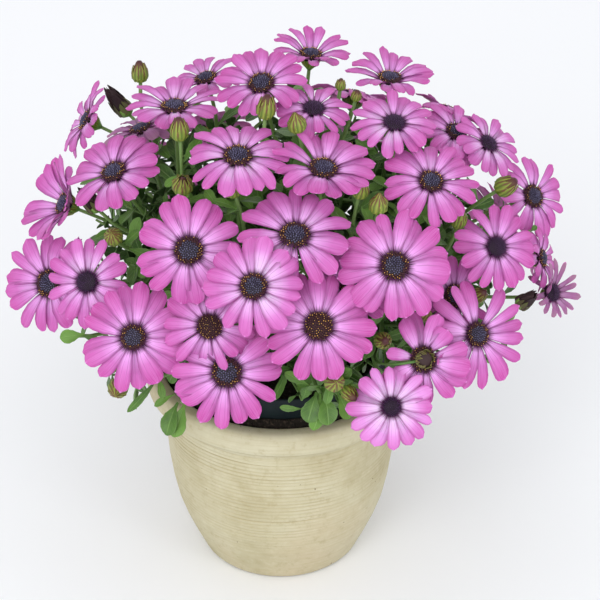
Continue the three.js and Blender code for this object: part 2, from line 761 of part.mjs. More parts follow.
// A thin arched leaf with a toothed edge, from a foot inside the stem.
function leafSolid(foot, along, face, length) {
  const width = length * LEAF_WIDTH;
  const side = new THREE.Vector3().crossVectors(face, along).normalize();
  const at = (share, across, rise) =>
    foot
      .clone()
      .addScaledVector(along, share * length)
      .addScaledVector(side, (across * width) / 2)
      .addScaledVector(face, rise - LEAF_DROOP * length * share * share);
  const half = LEAF_THICK / 2;
  const points = [at(0, 0, half), at(0, 0, -half), at(LEAF_RIDGE, 0, half), at(LEAF_RIDGE, 0, -half)];
  const edge = [
    ...LEAF_LEFT.map(([share, across]) => at(share, across, LEAF_TROUGH)),
    at(1, 0, 0),
    ...LEAF_RIGHT.map(([share, across]) => at(share, -across, LEAF_TROUGH)),
  ];
  const first = points.length;
  points.push(...edge);
  const last = points.length - 1;
  const faces = [
    [0, 2, first],
    [0, last, 2],
    [1, first, 3],
    [1, 3, last],
    [0, first, 1],
    [0, 1, last],
  ];
  for (let i = first; i < last; i++) faces.push([2, i + 1, i], [3, i, i + 1]);
  return solidOf(points, faces);
}

// ---- the bush ----
const blooms = shownBlooms();
blooms.push(...farBlooms(blooms));
blooms.forEach((bloom, i) => {
  bloom.number = i + 1;
  bloom.name = `bloom_${String(i + 1).padStart(2, "0")}`;
  const [u, v] = squareTo(bloom.facing);
  const roll = draw(bloom.number, 90) * 2 * Math.PI;
  bloom.u = u.clone().multiplyScalar(Math.cos(roll)).addScaledVector(v, Math.sin(roll));
  bloom.v = new THREE.Vector3().crossVectors(bloom.facing, bloom.u);
});

const buds = BUDS.map(([across, up, proud, radius, length, fx, fy, fz]) => ({
  centre: placeAt(across, up, domeDepth(across, up) + proud),
  facing: sightVector(fx, fy, fz),
  radius,
  length,
}));

const shoots = [];
for (let i = 0; i <= SHOOTS; i++) {
  const middle = i === SHOOTS;
  const angle = ((i + 0.5) / SHOOTS) * 2 * Math.PI - Math.PI / 2;
  const spoke = middle ? new THREE.Vector3() : new THREE.Vector3(Math.cos(angle), Math.sin(angle), 0);
  const root = spoke.clone().multiplyScalar(SHOOT_RING).setZ(COMPOST_TOP - SHOOT_DEPTH);
  const crown = new THREE.Vector3(DOME.x, DOME.y, middle ? CROWN_HEIGHT + 26 : CROWN_HEIGHT);
  crown.addScaledVector(spoke, CROWN_OUT);
  shoots.push({
    name: `leafy_stem_${i + 1}`,
    curve: shootCurve(root, crown),
    parts: [],
    curves: [],
    starts: [],
  });
}

// The shoot that carries a place: the middle one at the top of the dome, else the nearest round it.
function shootFor(place) {
  const offset = place.clone().sub(DOME);
  if (Math.hypot(offset.x, offset.y) < 62) return shoots.at(-1);
  const turn = (Math.atan2(offset.y, offset.x) + Math.PI / 2 + 2 * Math.PI) % (2 * Math.PI);
  return shoots[Math.floor((turn / (2 * Math.PI)) * SHOOTS) % SHOOTS];
}

// What a stalk may pass: nothing at first, then its own shoot's stalks, then other blooms' petals.
const PASSES = [
  { own: false, petals: false },
  { own: true, petals: false },
  { own: true, petals: true },
];

// Tries stalks from several heights and with several sideways bows, and keeps the first clear one.
function growStalk(thing, neck, build, name) {
  const shoot = shootFor(thing.centre);
  const tries = [];
  for (const bow of STALK_BOWS) for (const share of STALK_SHARES) tries.push([share, bow]);
  for (const pass of PASSES)
    for (const [share, bow] of tries) {
      if (!pass.own && shoot.starts.includes(share)) continue;
      const start = onRun(shoot.curve, share, SHOOT_RUNS).foot;
      const away = shoot.curve
        .getTangent(share)
        .addScaledVector(thing.centre.clone().sub(start).normalize(), 0.8)
        .normalize();
      const curve = stalkCurve(start, away, neck, thing.facing);
      const [side] = squareTo(away);
      curve.v1.addScaledVector(side, bow);
      curve.v2.addScaledVector(side, bow / 2);
      const body = build(thing, curve, 0);
      const rest = build(thing, curve, 0.15);
      const saucers = (owner) => owner === `saucer ${name}` || (pass.petals && owner.startsWith("saucer"));
      const others = (owner) => owner === shoot.name || owner === name || saucers(owner);
      const clearOfOwn = pass.own || isClear(rest, side, (owner) => owner !== shoot.name, GAP);
      rest.delete();
      if (clearOfOwn && isClear(body, side, others, GAP)) {
        shoot.parts.push(body);
        shoot.curves.push(curve);
        shoot.starts.push(share);
        stand(body, shoot.name);
        return true;
      }
      body.delete();
    }
  return false;
}

// Pots and compost stand first, then the discs, the stalks, the petals, the buds and the leaves.
const pot = makePot();
const nurseryPot = makeNurseryPot();
const packing = makePacking();
let compost = makeCompost();
stand(pot, "pot");
stand(nurseryPot, "nursery_pot");
stand(packing, "packing");
for (const shoot of shoots) {
  const radii = [SHOOT_RADIUS, SHOOT_RADIUS, SHOOT_RADIUS * 0.8, SHOOT_RADIUS * 0.6];
  const stem = tubeAlong(shoot.curve, SHOOT_RUNS, radii, SHOOT_SIDES);
  const clear = Array(3).fill(SHOOT_RADIUS + 2 * GAP);
  const hole = tubeAlong(shoot.curve, SHOOT_RUNS.slice(0, 3), clear, SHOOT_SIDES);
  compost = compost.subtract(hole.translate(0, 0, -GAP));
  shoot.parts.push(stem);
  stand(stem, shoot.name);
}
stand(compost, "compost");
for (const bloom of blooms) {
  stand(bloomSolid(bloom, []), bloom.name);
  stand(saucer(bloom), `saucer ${bloom.name}`);
}
for (const bloom of blooms) {
  const neck = bloom.centre.clone().addScaledVector(bloom.facing, -DISC_HALF - CALYX_DEPTH);
  growStalk(bloom, neck, bloomStalk, bloom.name);
}
for (const bud of buds) {
  const neck = bud.centre.clone().addScaledVector(bud.facing, -bud.length * 0.5);
  growStalk(bud, neck, budStalk, "bud");
}
for (const bloom of blooms) bloom.petals = openPetals(bloom);

// Leaves stand round the stems, tilted outward, where there is room for them.
function growLeaf(shoot, foot, along, face, length) {
  const body = leafSolid(foot, along, face, length);
  const reach = leafSolid(foot.clone().addScaledVector(along, LEAF_ROOM), along, face, length);
  const nobody = (owner) => owner.startsWith("saucer");
  const others = (owner) => owner === shoot.name || nobody(owner);
  if (isClear(body, face, others) && isClear(reach, face, nobody, 0)) {
    reach.delete();
    shoot.parts.push(body);
    stand(body, shoot.name);
    return true;
  }
  body.delete();
  reach.delete();
  return false;
}

// A tuft is a short leafy side shoot.
for (const [across, up, proud] of TUFTS) {
  const centre = placeAt(across, up, domeDepth(across, up) + proud);
  const facing = sightVector(across / 100, up / 100, 0.5);
  if (!growStalk({ centre, facing }, centre, tuftStalk, "tuft")) continue;
  const shoot = shootFor(centre);
  const curve = shoot.curves.at(-1);
  const { foot, tangent } = onRun(curve, 0.97, STALK_RUNS);
  const [u, v] = squareTo(tangent);
  for (let i = 0; i < TUFT_LEAVES; i++) {
    const turn = (i / TUFT_LEAVES) * 2 * Math.PI + draw(across, 1);
    const outward = u.clone().multiplyScalar(Math.cos(turn)).addScaledVector(v, Math.sin(turn));
    const along = tangent.clone().multiplyScalar(0.5).add(outward).normalize();
    const face = tangent.clone().addScaledVector(along, -tangent.dot(along)).normalize();
    growLeaf(shoot, foot, along, face, between(LEAF_LENGTH, draw(across, i + 2)));
  }
}

shoots.forEach((shoot, s) => {
  let kept = 0;
  for (let i = 0; i < LEAF_TRIES && kept < LEAVES_KEPT; i++) {
    const onStalk = shoot.curves.length > 0 && draw(s, i) < ON_STALKS;
    const pick = Math.floor(draw(s + 20, i) * shoot.curves.length);
    const curve = onStalk ? shoot.curves[pick] : shoot.curve;
    const share = between(onStalk ? STALK_LEAVES : STEM_LEAVES, draw(s + 40, i));
    const { foot, tangent } = onRun(curve, share, onStalk ? STALK_RUNS : SHOOT_RUNS);
    const [u, v] = squareTo(tangent);
    const turn = draw(s + 60, i) * 2 * Math.PI;
    const outward = u.multiplyScalar(Math.cos(turn)).addScaledVector(v, Math.sin(turn));
    const along = tangent.clone().multiplyScalar(0.6).add(outward).normalize();
    const face = tangent.clone().addScaledVector(along, -tangent.dot(along)).normalize();
    if (growLeaf(shoot, foot, along, face, between(LEAF_LENGTH, draw(s + 80, i)))) kept += 1;
  }
});

// ---- export ----
addPiece("pot", pot, STONEWARE);
addPiece("nursery_pot", nurseryPot, BLACK_PLASTIC);
addPiece("packing_compost", packing, COMPOST);
addPiece("compost", compost, COMPOST);
for (const shoot of shoots) addPiece(shoot.name, joined(shoot.parts), GREEN);
for (const bloom of blooms) addPiece(bloom.name, bloomSolid(bloom, bloom.petals), PETAL);

export default plant;
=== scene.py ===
# %% [markdown]
# # A potted osteospermum in bloom
# This lesson dresses a CAD model of a flowering pot plant: a dome of pink-purple daisies over dark
# toothed leaves, in a ridged stoneware pot. The CAD model already holds every bloom, shoot and pot
# at its real place and size. Blender adds what makes a plant look alive: petals that bend, florets,
# leaf teeth, crumbs of compost and the marks in fired clay.

# %% Load the frame that the looks are built round
from math import atan2, ceil, cos, floor, hypot, pi, radians, sin, sqrt, tan
from types import SimpleNamespace

import bmesh
import bpy
from mathutils import Matrix, Vector, kdtree, noise


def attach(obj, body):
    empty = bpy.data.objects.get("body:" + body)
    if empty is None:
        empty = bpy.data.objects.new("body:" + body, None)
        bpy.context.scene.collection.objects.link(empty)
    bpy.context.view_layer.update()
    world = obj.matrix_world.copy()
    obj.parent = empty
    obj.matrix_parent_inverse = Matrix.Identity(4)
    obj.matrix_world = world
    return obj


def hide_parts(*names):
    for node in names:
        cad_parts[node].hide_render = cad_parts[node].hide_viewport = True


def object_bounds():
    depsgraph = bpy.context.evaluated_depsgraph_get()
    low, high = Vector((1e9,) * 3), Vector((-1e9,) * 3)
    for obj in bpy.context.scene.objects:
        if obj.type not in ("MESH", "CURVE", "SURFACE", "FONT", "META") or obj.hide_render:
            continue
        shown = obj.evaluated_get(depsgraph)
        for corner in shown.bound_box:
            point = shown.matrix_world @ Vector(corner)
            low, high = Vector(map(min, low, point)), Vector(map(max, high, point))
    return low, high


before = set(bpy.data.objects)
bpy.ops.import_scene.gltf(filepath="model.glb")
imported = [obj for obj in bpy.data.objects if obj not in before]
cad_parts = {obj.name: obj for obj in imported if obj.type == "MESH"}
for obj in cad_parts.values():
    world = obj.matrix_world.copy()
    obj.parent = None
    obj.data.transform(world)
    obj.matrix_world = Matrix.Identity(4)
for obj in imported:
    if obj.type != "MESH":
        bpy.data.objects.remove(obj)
cad_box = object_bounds()
MM = 0.001  # shapes are worked out in millimetres and made metres as they are finished
print("frame loaded:", len(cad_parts), "nodes")

# %% [markdown]
# ## Camera, light and floor
# A studio picture of a plant is taken from a little above with a long lens, so the camera stands
# 2.5 m away and looks down. A white sweep has no edges, so the floor is one wide pale sheet. The
# light is a bright even surround with three large soft lamps in front, the strongest of them a
# little to the left, which leaves only faint shadows between the petals.

# %% Camera
SLOPE = radians(34.4)  # how far the line of sight slopes down
SIGHT_DISTANCE = 2500
AIM = Vector((12.3, 20.6, 168.3))
ACROSS = Vector((1, 0, 0))
UPWARD = Vector((0, sin(SLOPE), cos(SLOPE)))
TOWARD = Vector((0, -cos(SLOPE), sin(SLOPE)))


def sight(across, up, toward):
    """A vector from its parts across, up and along the line of sight."""
    return ACROSS * across + UPWARD * up + TOWARD * toward


scene = bpy.context.scene
camera = bpy.data.objects.new("camera", bpy.data.cameras.new("camera"))
scene.collection.objects.link(camera)
camera.data.sensor_width = 36
camera.data.lens = 237.3
camera.location = (AIM + TOWARD * SIGHT_DISTANCE) * MM
camera.rotation_mode = "QUATERNION"
camera.rotation_quaternion = (-TOWARD).to_track_quat("-Z", "Y")
scene.camera = camera

# %% Light
SURROUND = 0.9  # brightness of the white room
LAMPS = {  # place and size in metres, power in watts
    "key_lamp": ((-0.4, -2.3, 2.1), 1.3, 24),
    "fill_lamp": ((1.8, -2.0, 1.4), 1.0, 12),
    "low_lamp": ((-1.6, -2.0, 0.9), 1.0, 9),
}

world = bpy.data.worlds.new("white_room")
scene.world = world
world.use_nodes = True
world.node_tree.nodes["Background"].inputs["Color"].default_value = (1, 1, 1, 1)
world.node_tree.nodes["Background"].inputs["Strength"].default_value = SURROUND
for name, (place, size, power) in LAMPS.items():
    lamp = bpy.data.objects.new(name, bpy.data.lights.new(name, "AREA"))
    lamp.data.size = size
    lamp.data.energy = power
    lamp.location = place
    lamp.rotation_mode = "QUATERNION"
    lamp.rotation_quaternion = (AIM * MM - Vector(place)).to_track_quat("-Z", "Y")
    scene.collection.objects.link(lamp)
scene.view_settings.view_transform = "Standard"  # keeps the petals' colour as strong as it is made
print("camera at", [round(v, 2) for v in camera.location], "and lamps:", len(LAMPS))

# %% [markdown]
# ## Materials
# Each material is a small tree of nodes. Petals and leaves carry their own flat map called blade,
# where x runs across and y runs from foot to tip, so colour can follow the blade however it bends.
# Every point also carries a number called tone, a seeded draw that keeps neighbours from looking
# alike. Clay and compost have no such direction, so their patterns are read from object space.


# %% Sums that become nodes
class Field:
    """A number or colour that varies over a surface. Sums with it add nodes to its finish."""

    def __init__(self, finish, socket):
        self.finish = finish
        self.socket = socket

    def math(self, operation, *others):
        return self.finish.node("Math", 0, dict(enumerate((self, *others))), operation=operation)

    def __add__(self, other):
        return self.math("ADD", other)

    def __sub__(self, other):
        return self.math("SUBTRACT", other)

    def __mul__(self, other):
        return self.math("MULTIPLY", other)

    def __abs__(self):
        return self.math("ABSOLUTE")

    def spread(self, low, high):
        """The range from low to high made 0 to 1."""
        return self.finish.node("MapRange", 0, {"Value": self, "From Min": low, "From Max": high})

    def parts(self):
        """The x, y and z of a place."""
        node = self.finish.node("SeparateXYZ", 0, {0: self}).socket.node
        return [Field(self.finish, socket) for socket in node.outputs]

    def ramp(self, *stops):
        """A colour read from (place, colour) stops."""
        colour = self.finish.node("ValToRGB", 0, {"Fac": self})
        elements = colour.socket.node.color_ramp.elements
        for extra in range(len(stops) - 2):
            elements.new(0.5)
        for element, (place, stop) in zip(elements, stops):
            element.position = place
            element.color = (*stop, 1)
        return colour

    def mix(self, factor, other):
        """This colour with some of another mixed in."""
        return self.finish.node("Mix", 2, {0: factor, 6: self, 7: (*other, 1)}, data_type="RGBA")


# %% A short way to write node trees
class Finish:
    """A material, and short words for the nodes that it is made of."""

    def __init__(self, name, roughness, specular):
        self.material = bpy.data.materials.new(name)
        self.material.use_nodes = True
        self.tree = self.material.node_tree
        self.shader = self.tree.nodes["Principled BSDF"].inputs
        self.shader["Roughness"].default_value = roughness
        self.shader["Specular IOR Level"].default_value = specular

    def node(self, kind, output=0, inputs=None, **settings):
        """The output of a new node, whose inputs are joined to fields or set to values."""
        node = self.tree.nodes.new("ShaderNode" + kind)
        for name, value in settings.items():
            setattr(node, name, value)
        for name, value in (inputs or {}).items():
            if isinstance(value, Field):
                self.tree.links.new(value.socket, node.inputs[name])
            else:
                node.inputs[name].default_value = value
        return Field(self, node.outputs[output])

    def place(self):
        return self.node("TexCoord", "Object")

    def tone(self):
        return self.node("Attribute", "Fac", attribute_name="tone")

    def noise(self, place, scale, detail=2, roughness=0.5):
        inputs = {"Vector": place, "Scale": scale, "Detail": detail, "Roughness": roughness}
        return self.node("TexNoise", "Fac", inputs)

    def blade(self):
        """Across a blade, along it, how far off its middle, and its tone."""
        across, along, _ = self.node("UVMap", "UV", uv_map="blade").parts()
        return across, along, abs(across * 2 - 1), self.tone()

    def lines(self, across, along, tone, many, stretch):
        """Noise drawn out along a blade, different on each."""
        drawn = {"X": across * many + tone * 37, "Y": along * stretch, "Z": tone}
        return self.noise(self.node("CombineXYZ", 0, drawn), 1, 3, 0.6)

    def done(self, colour, height=None, strength=0.3, distance=0.0003):
        """The material, once its colour and any bump are joined to the shader."""
        self.tree.links.new(colour.socket, self.shader["Base Color"])
        if height is not None:
            bump = self.node("Bump", 0, {"Height": height, "Strength": strength, "Distance": distance})
            self.tree.links.new(bump.socket, self.shader["Normal"])
        return self.material


# %% [markdown]
# ### Petals
# A ray petal is nearly white where it leaves the disc, with a dark foot, then pink-violet, and
# deepest at its tip and edges, with the edges made darker still as painted shade where petals overlap.
# Fine lines and two creases run along it. Painted shade darkens the creases and the sides of each
# petal's foot, where its neighbours shade it. Its back is duller and more purple. A petal with a
# higher tone is paler, because the ramp is then read nearer its foot.


# %% Petal materials
PALE_LILAC = (0.84, 0.64, 0.9)  # what the palest petals fade to near the disc


def petal_finish(name, foot, pale, body, tip, edge, painted_shade, roughness):
    finish = Finish(name, roughness, 0.25)
    finish.shader["Subsurface Weight"].default_value = 0.4  # petals let some light through
    finish.shader["Subsurface Radius"].default_value = (1, 0.5, 0.9)
    finish.shader["Subsurface Scale"].default_value = 0.0012
    across, along, off_middle, tone = finish.blade()
    lines = finish.lines(across, along, tone, 26, 1.6)
    place = along * (tone * -0.42 + 1.12) + lines * 0.2 - 0.1
    colour = place.ramp((0.05, pale), (0.22, pale), (0.54, body), (0.94, tip))
    colour = colour.mix(tone.spread(0.5, 1) * along.spread(0.62, 0.2) * 0.75, PALE_LILAC)
    # the petal's own deeper edge colour, made darker as painted shade along the borders where petals overlap
    colour = colour.mix(off_middle.spread(0.6, 1) * along.spread(0.1, 0.6) * 0.7, edge)
    colour = colour.mix(lines.spread(0.4, 0.7) * 0.32, pale)
    # painted shade: dark lines in the two creases, and down the sides of each petal's foot where its
    # neighbours shade it
    painted_crease_shade = abs(off_middle - 0.34).spread(0.065, 0) * along.spread(0.95, 0.4)
    painted_gap_shade = off_middle.spread(0.5, 0.96) * along.spread(0.9, 0.15)
    colour = colour.mix(painted_gap_shade.math("MAXIMUM", painted_crease_shade * 0.5) * 0.85, painted_shade)
    colour = colour.mix(off_middle.spread(0.35, 0.1) * along.spread(0.955, 0.99) * 0.55, pale)
    colour = colour.mix((along - 0.15 + lines * 0.3).spread(0.19, 0.06), foot)
    return finish.done(colour, lines, 0.5, 0.0002)


petal_top = petal_finish(
    "petal_top", (0.045, 0.005, 0.04), (0.77, 0.365, 0.78), (0.57, 0.142, 0.465), (0.48, 0.062, 0.32),
    (0.37, 0.038, 0.24), (0.16, 0.016, 0.125), 0.55,
)
petal_back = petal_finish(
    "petal_back", (0.06, 0.012, 0.045), (0.6, 0.3, 0.56), (0.58, 0.2, 0.48), (0.56, 0.15, 0.43),
    (0.56, 0.16, 0.45), (0.24, 0.05, 0.2), 0.6,
)
# greyer petals: bloom 22's own colour, and painted shade on bloom 33
petal_dull_and_shade = petal_finish(
    "petal_dull_and_shade", (0.05, 0.01, 0.04), (0.4, 0.2, 0.38), (0.34, 0.12, 0.29), (0.34, 0.17, 0.26),
    (0.42, 0.2, 0.36), (0.12, 0.025, 0.09), 0.6,
)


# %% [markdown]
# ### Disc florets, stems and buds
# Closed florets are blue-violet with a painted blue-grey highlight on their tips, open ones are
# maroon-black, and the pollen that they push out is orange-yellow. Tone rises from a floret's foot
# to its top, so one ramp gives each a base darkened by painted shade and a crown lit by a painted
# highlight. Stems and buds are read by tone too, from the foot of a stem to what it carries.


# %% Floret and stem materials
def floret_finish(name, foot, middle, crown, roughness=0.55):
    finish = Finish(name, roughness, 0.4)
    place = finish.tone() + finish.noise(finish.place(), 900) * 0.5 - 0.25
    # the ramp paints shade at a floret's foot and a highlight on its crown
    return finish.done(place.ramp((0, foot), (0.5, middle), (1, crown)))


def stem_finish(name, *stops, roughness=0.5):
    finish = Finish(name, roughness, 0.4)
    grain = finish.noise(finish.place(), 260, 3)
    return finish.done((finish.tone() + grain * 0.3 - 0.15).ramp(*stops), grain)


fringe = floret_finish("fringe", (0.02, 0.002, 0.02), (0.05, 0.006, 0.05), (0.14, 0.02, 0.14))
pollen = floret_finish("pollen", (0.5, 0.16, 0.015), (0.8, 0.4, 0.05), (1, 0.65, 0.16), 0.8)
floret_closed = floret_finish(
    "floret_closed", (0.005, 0.003, 0.012), (0.036, 0.028, 0.075), (0.14, 0.13, 0.23)
)
floret_young = floret_finish(
    "floret_young", (0.006, 0.002, 0.012), (0.03, 0.008, 0.04), (0.075, 0.03, 0.1)
)
floret_open = floret_finish(
    "floret_open", (0.004, 0.001, 0.003), (0.016, 0.004, 0.008), (0.06, 0.015, 0.02)
)
stem_green = stem_finish(
    "stem_green", (0, (0.09, 0.12, 0.035)), (0.3, (0.075, 0.17, 0.035)), (1, (0.165, 0.28, 0.075))
)
calyx_green = stem_finish(
    "calyx_green", (0, (0.12, 0.26, 0.05)), (0.7, (0.2, 0.36, 0.07)), (1, (0.1, 0.06, 0.05))
)
bud_green = stem_finish(
    "bud_green", (0, (0.1, 0.2, 0.03)), (0.35, (0.16, 0.18, 0.03)), (0.65, (0.14, 0.07, 0.025)),
    (1, (0.07, 0.015, 0.02)),
)
furled_dark = stem_finish(
    "furled_dark", (0, (0.1, 0.11, 0.03)), (0.3, (0.05, 0.022, 0.022)), (1, (0.022, 0.009, 0.014)),
    roughness=0.65,
)


# %% [markdown]
# ### Leaves and bracts
# A leaf is dark green above with a pale midrib and side veins, and grey-green below. The veins
# come from the blade's own map: the distance from the midrib, and slanting bands along it. A bud's
# bract is green along its middle, paler at its sides and brown toward its point.


# %% Leaf and bract materials
def leaf_finish(name, deep, fresh, vein, roughness, specular):
    finish = Finish(name, roughness, specular)
    _, along, off_middle, tone = finish.blade()
    side_veins = (along * 7 - off_middle * 1.9).math("PINGPONG", 0.5).spread(0.09, 0)
    veins = off_middle.spread(0.12, 0.02).math("MAXIMUM", side_veins * 0.45)
    mottle = finish.noise(finish.place(), 160, 3)
    colour = (mottle * 0.6 + tone.math("FRACT") * 0.55).ramp((0.15, deep), (0.85, fresh))
    pale_edge = off_middle.spread(0.84, 1) * 0.6
    colour = colour.mix(veins.math("MAXIMUM", pale_edge) * 0.55, vein)
    return finish.done(colour, mottle - veins, 0.5, 0.0004)


def bract_finish(name, green, pale, tip):
    finish = Finish(name, 0.5, 0.4)
    across, along, off_middle, tone = finish.blade()
    lines = finish.lines(across, along, tone, 14, 1.5)
    colour = (lines * 0.5 + off_middle).spread(0.35, 1).ramp((0, green), (1, pale))
    colour = colour.mix((along - off_middle + lines * 0.7).spread(0.5, 0.95), tip)
    return finish.done(colour, lines, 0.4)


leaf_top = leaf_finish("leaf_top", (0.015, 0.06, 0.012), (0.14, 0.3, 0.045), (0.23, 0.4, 0.11), 0.4, 0.34)
leaf_back = leaf_finish("leaf_back", (0.045, 0.1, 0.03), (0.1, 0.19, 0.055), (0.18, 0.28, 0.1), 0.65, 0.2)
bract_green = bract_finish("bract_green", (0.095, 0.17, 0.018), (0.27, 0.315, 0.05), (0.16, 0.055, 0.03))
bract_withered = bract_finish("bract_withered", (0.07, 0.075, 0.02), (0.22, 0.23, 0.06), (0.06, 0.025, 0.018))


# %% [markdown]
# ### Stoneware, plastic, compost and floor
# The pot is unglazed stoneware: pale yellow-beige with tan and greenish clouds and a few dark
# specks, with painted shade darkening its combed lines and the two deep lines below the collar.
# The nursery pot is smooth blue-black plastic. Compost is nearly black, with brown fibres.


# %% Pot, compost and floor materials
def stoneware_finish():
    """The wall's tone is how deep a comb line is there."""
    finish = Finish("stoneware", 0.75, 0.25)
    place = finish.place()
    clouds = finish.noise(place, 16, 4, 0.6)
    colour = clouds.ramp(
        (0.3, (0.44, 0.39, 0.24)), (0.5, (0.535, 0.49, 0.33)), (0.72, (0.6, 0.565, 0.41))
    )
    colour = colour.mix(finish.noise(place, 9, 3).spread(0.52, 0.72) * 0.4, (0.54, 0.4, 0.25))
    mottle = finish.noise(place, 150, 5, 0.7)
    colour = colour.mix(mottle.spread(0.54, 0.7) * 0.3, (0.68, 0.64, 0.48))
    colour = colour.mix(mottle.spread(0.47, 0.32) * 0.5, (0.4, 0.34, 0.19))
    x, y, z = place.parts()
    combing = finish.noise(finish.node("CombineXYZ", 0, {"X": x * 30, "Y": y * 30, "Z": z * 650}), 1)
    colour = colour.mix(combing.spread(0.48, 0.7) * 0.3, (0.46, 0.4, 0.23))
    # painted shade in the comb lines and deep lines, darker where they are pressed deeper
    colour = colour.mix(finish.tone() * 0.6, (0.33, 0.26, 0.13))
    colour = colour.mix(finish.noise(place, 300, 1).spread(0.77, 0.81) * 0.8, (0.14, 0.1, 0.05))
    grain = finish.noise(place, 700, 3, 0.7)
    return finish.done(colour, grain * 0.5 + combing, 0.3, 0.0004)


def mottled_finish(name, roughness, specular, grain, stops, *bump):
    finish = Finish(name, roughness, specular)
    mottle = finish.noise(finish.place(), *grain)
    return finish.done(mottle.ramp(*stops), mottle if bump else None, *bump)


stoneware = stoneware_finish()
black_plastic = mottled_finish(
    "black_plastic", 0.62, 0.22, (60, 4, 0.7),
    [(0.35, (0.006, 0.012, 0.014)), (0.7, (0.012, 0.021, 0.024))], 0.1, 0.0005,
)
compost_dark = mottled_finish(
    "compost", 0.95, 0.2, (500, 4, 0.7),
    [(0.3, (0.01, 0.008, 0.006)), (0.55, (0.024, 0.019, 0.015)), (0.72, (0.1, 0.075, 0.052))],
    0.8, 0.001,
)
pale_floor = mottled_finish(
    "pale_floor", 0.9, 0.1, (2,), [(0, (0.89, 0.905, 0.94)), (1, (0.91, 0.925, 0.955))]
)
print("materials:", len(bpy.data.materials), "with the frame's own")

# %% Floor
FLOOR_REACH = 9  # metres
floor_bm = bmesh.new()
bmesh.ops.create_grid(floor_bm, x_segments=1, y_segments=1, size=FLOOR_REACH)
floor_mesh = bpy.data.meshes.new("floor")
floor_bm.to_mesh(floor_mesh)
floor_bm.free()
floor_mesh.materials.append(pale_floor)
floor_sheet = bpy.data.objects.new("floor", floor_mesh)
scene.collection.objects.link(floor_sheet)
print("floor reaches", FLOOR_REACH, "m each way")

# %% [markdown]
# ## How a piece is made and finished
# All pieces go through the same two steps. A new bmesh gets the two layers that the materials read,
# and a finished one is made an object at the origin, tied to the pot's body, and stands for its
# CAD node.

# %% Start and finish a piece
TURN = 2 * pi
GOLDEN_ANGLE = pi * (3 - sqrt(5))
triangle_count = 0


def draw(seed, turn):
    """A draw between 0 and 1 that depends only on its two numbers."""
    value = sin(seed * 127.1 + turn * 311.7 + 74.7) * 43758.5453
    return value - floor(value)


def between(span, share):
    return span[0] + (span[1] - span[0]) * share


def new_piece():
    bm = bmesh.new()
    bm.verts.layers.float.new("tone")
    bm.loops.layers.uv.new("blade")
    return bm


def finish_piece(bm, name, skins, node):
    """Makes the object, in metres, and ties it to the frame."""
    global triangle_count
    triangle_count += sum(len(face.verts) - 2 for face in bm.faces)
    bmesh.ops.scale(bm, vec=(MM, MM, MM), verts=bm.verts[:])
    mesh = bpy.data.meshes.new(name)
    bm.to_mesh(mesh)
    bm.free()
    for skin in skins:
        mesh.materials.append(skin)
    piece = bpy.data.objects.new(name, mesh)
    scene.collection.objects.link(piece)
    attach(piece, "root")
    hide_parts(node)


def paint(bm, verts, skin, tone):
    """Gives the faces round some points a material, and the points their tone."""
    layer = bm.verts.layers.float["tone"]
    for vert in verts:
        vert[layer] = tone(vert.co)
        for face in vert.link_faces:
            face.material_index = skin
            face.smooth = True


def pointed(direction, place):
    """A matrix at a place whose Z points along a direction."""
    return Matrix.Translation(place) @ direction.to_track_quat("Z", "Y").to_matrix().to_4x4()


def once(things):
    """A list of things without repeats, in an order that is the same on each run."""
    return list(dict.fromkeys(things))


def loft(bm, path, radii, sides, skin, tones, rib=0):
    """A round skin from ring to ring along (point, direction) pairs, closed at both ends."""
    rings = []
    for (point, direction), radius in zip(path, radii):
        seat = pointed(direction, point)
        ring = bmesh.ops.create_circle(bm, segments=sides, radius=radius, matrix=seat)["verts"]
        if rib:
            for vert in ring[::2]:
                vert.co = point + (vert.co - point) * (1 - rib)
        rings.append(ring)
    edges = [once(edge for vert in ring for edge in vert.link_edges) for ring in rings]
    for low, high in zip(edges, edges[1:]):
        bmesh.ops.bridge_loops(bm, edges=low + high)
    for end in (edges[0], edges[-1]):
        bmesh.ops.contextual_create(bm, geom=end)
    faces = once(face for ring in rings for vert in ring for face in vert.link_faces)
    bmesh.ops.recalc_face_normals(bm, faces=faces)
    for index, ring in enumerate(rings):
        paint(bm, ring, skin, lambda place: between(tones, index / (len(rings) - 1)))


# %% [markdown]
# ## Blades
# Petals, leaves and bracts are all thin blades. A flat blank is cut once, as a grid with a
# thickness, and then bent for each place. In the blank x is -1 to 1 across, y is 0 to 1 along and
# z is 0 on top and -1 below, so a bending rule only has to say where such a point goes.

# %% Cut the blanks
PETAL_OUTLINE = [
    (0, 0.36), (0.18, 0.53), (0.45, 0.87), (0.7, 1), (0.85, 0.94), (0.94, 0.74), (0.985, 0.46), (1, 0.2),
]
QUILL_OUTLINE = [
    (0, 0.38), (0.18, 0.38), (0.45, 0.36), (0.7, 0.4), (0.85, 0.36), (0.94, 0.26), (0.985, 0.15), (1, 0.08),
]
LEAF_OUTLINE = [
    (0, 0.12), (0.16, 0.2), (0.32, 0.46), (0.47, 0.8), (0.55, 0.82), (0.66, 1), (0.76, 0.98), (0.87, 0.84),
    (0.95, 0.54), (1, 0.12),
]
BRACT_OUTLINE = [(0, 0.8), (0.4, 1), (0.75, 0.62), (1, 0.06)]
SHARP_EDGE = 1  # radians
LOOK_AROUND = 0.02  # how far from a point its slopes are taken


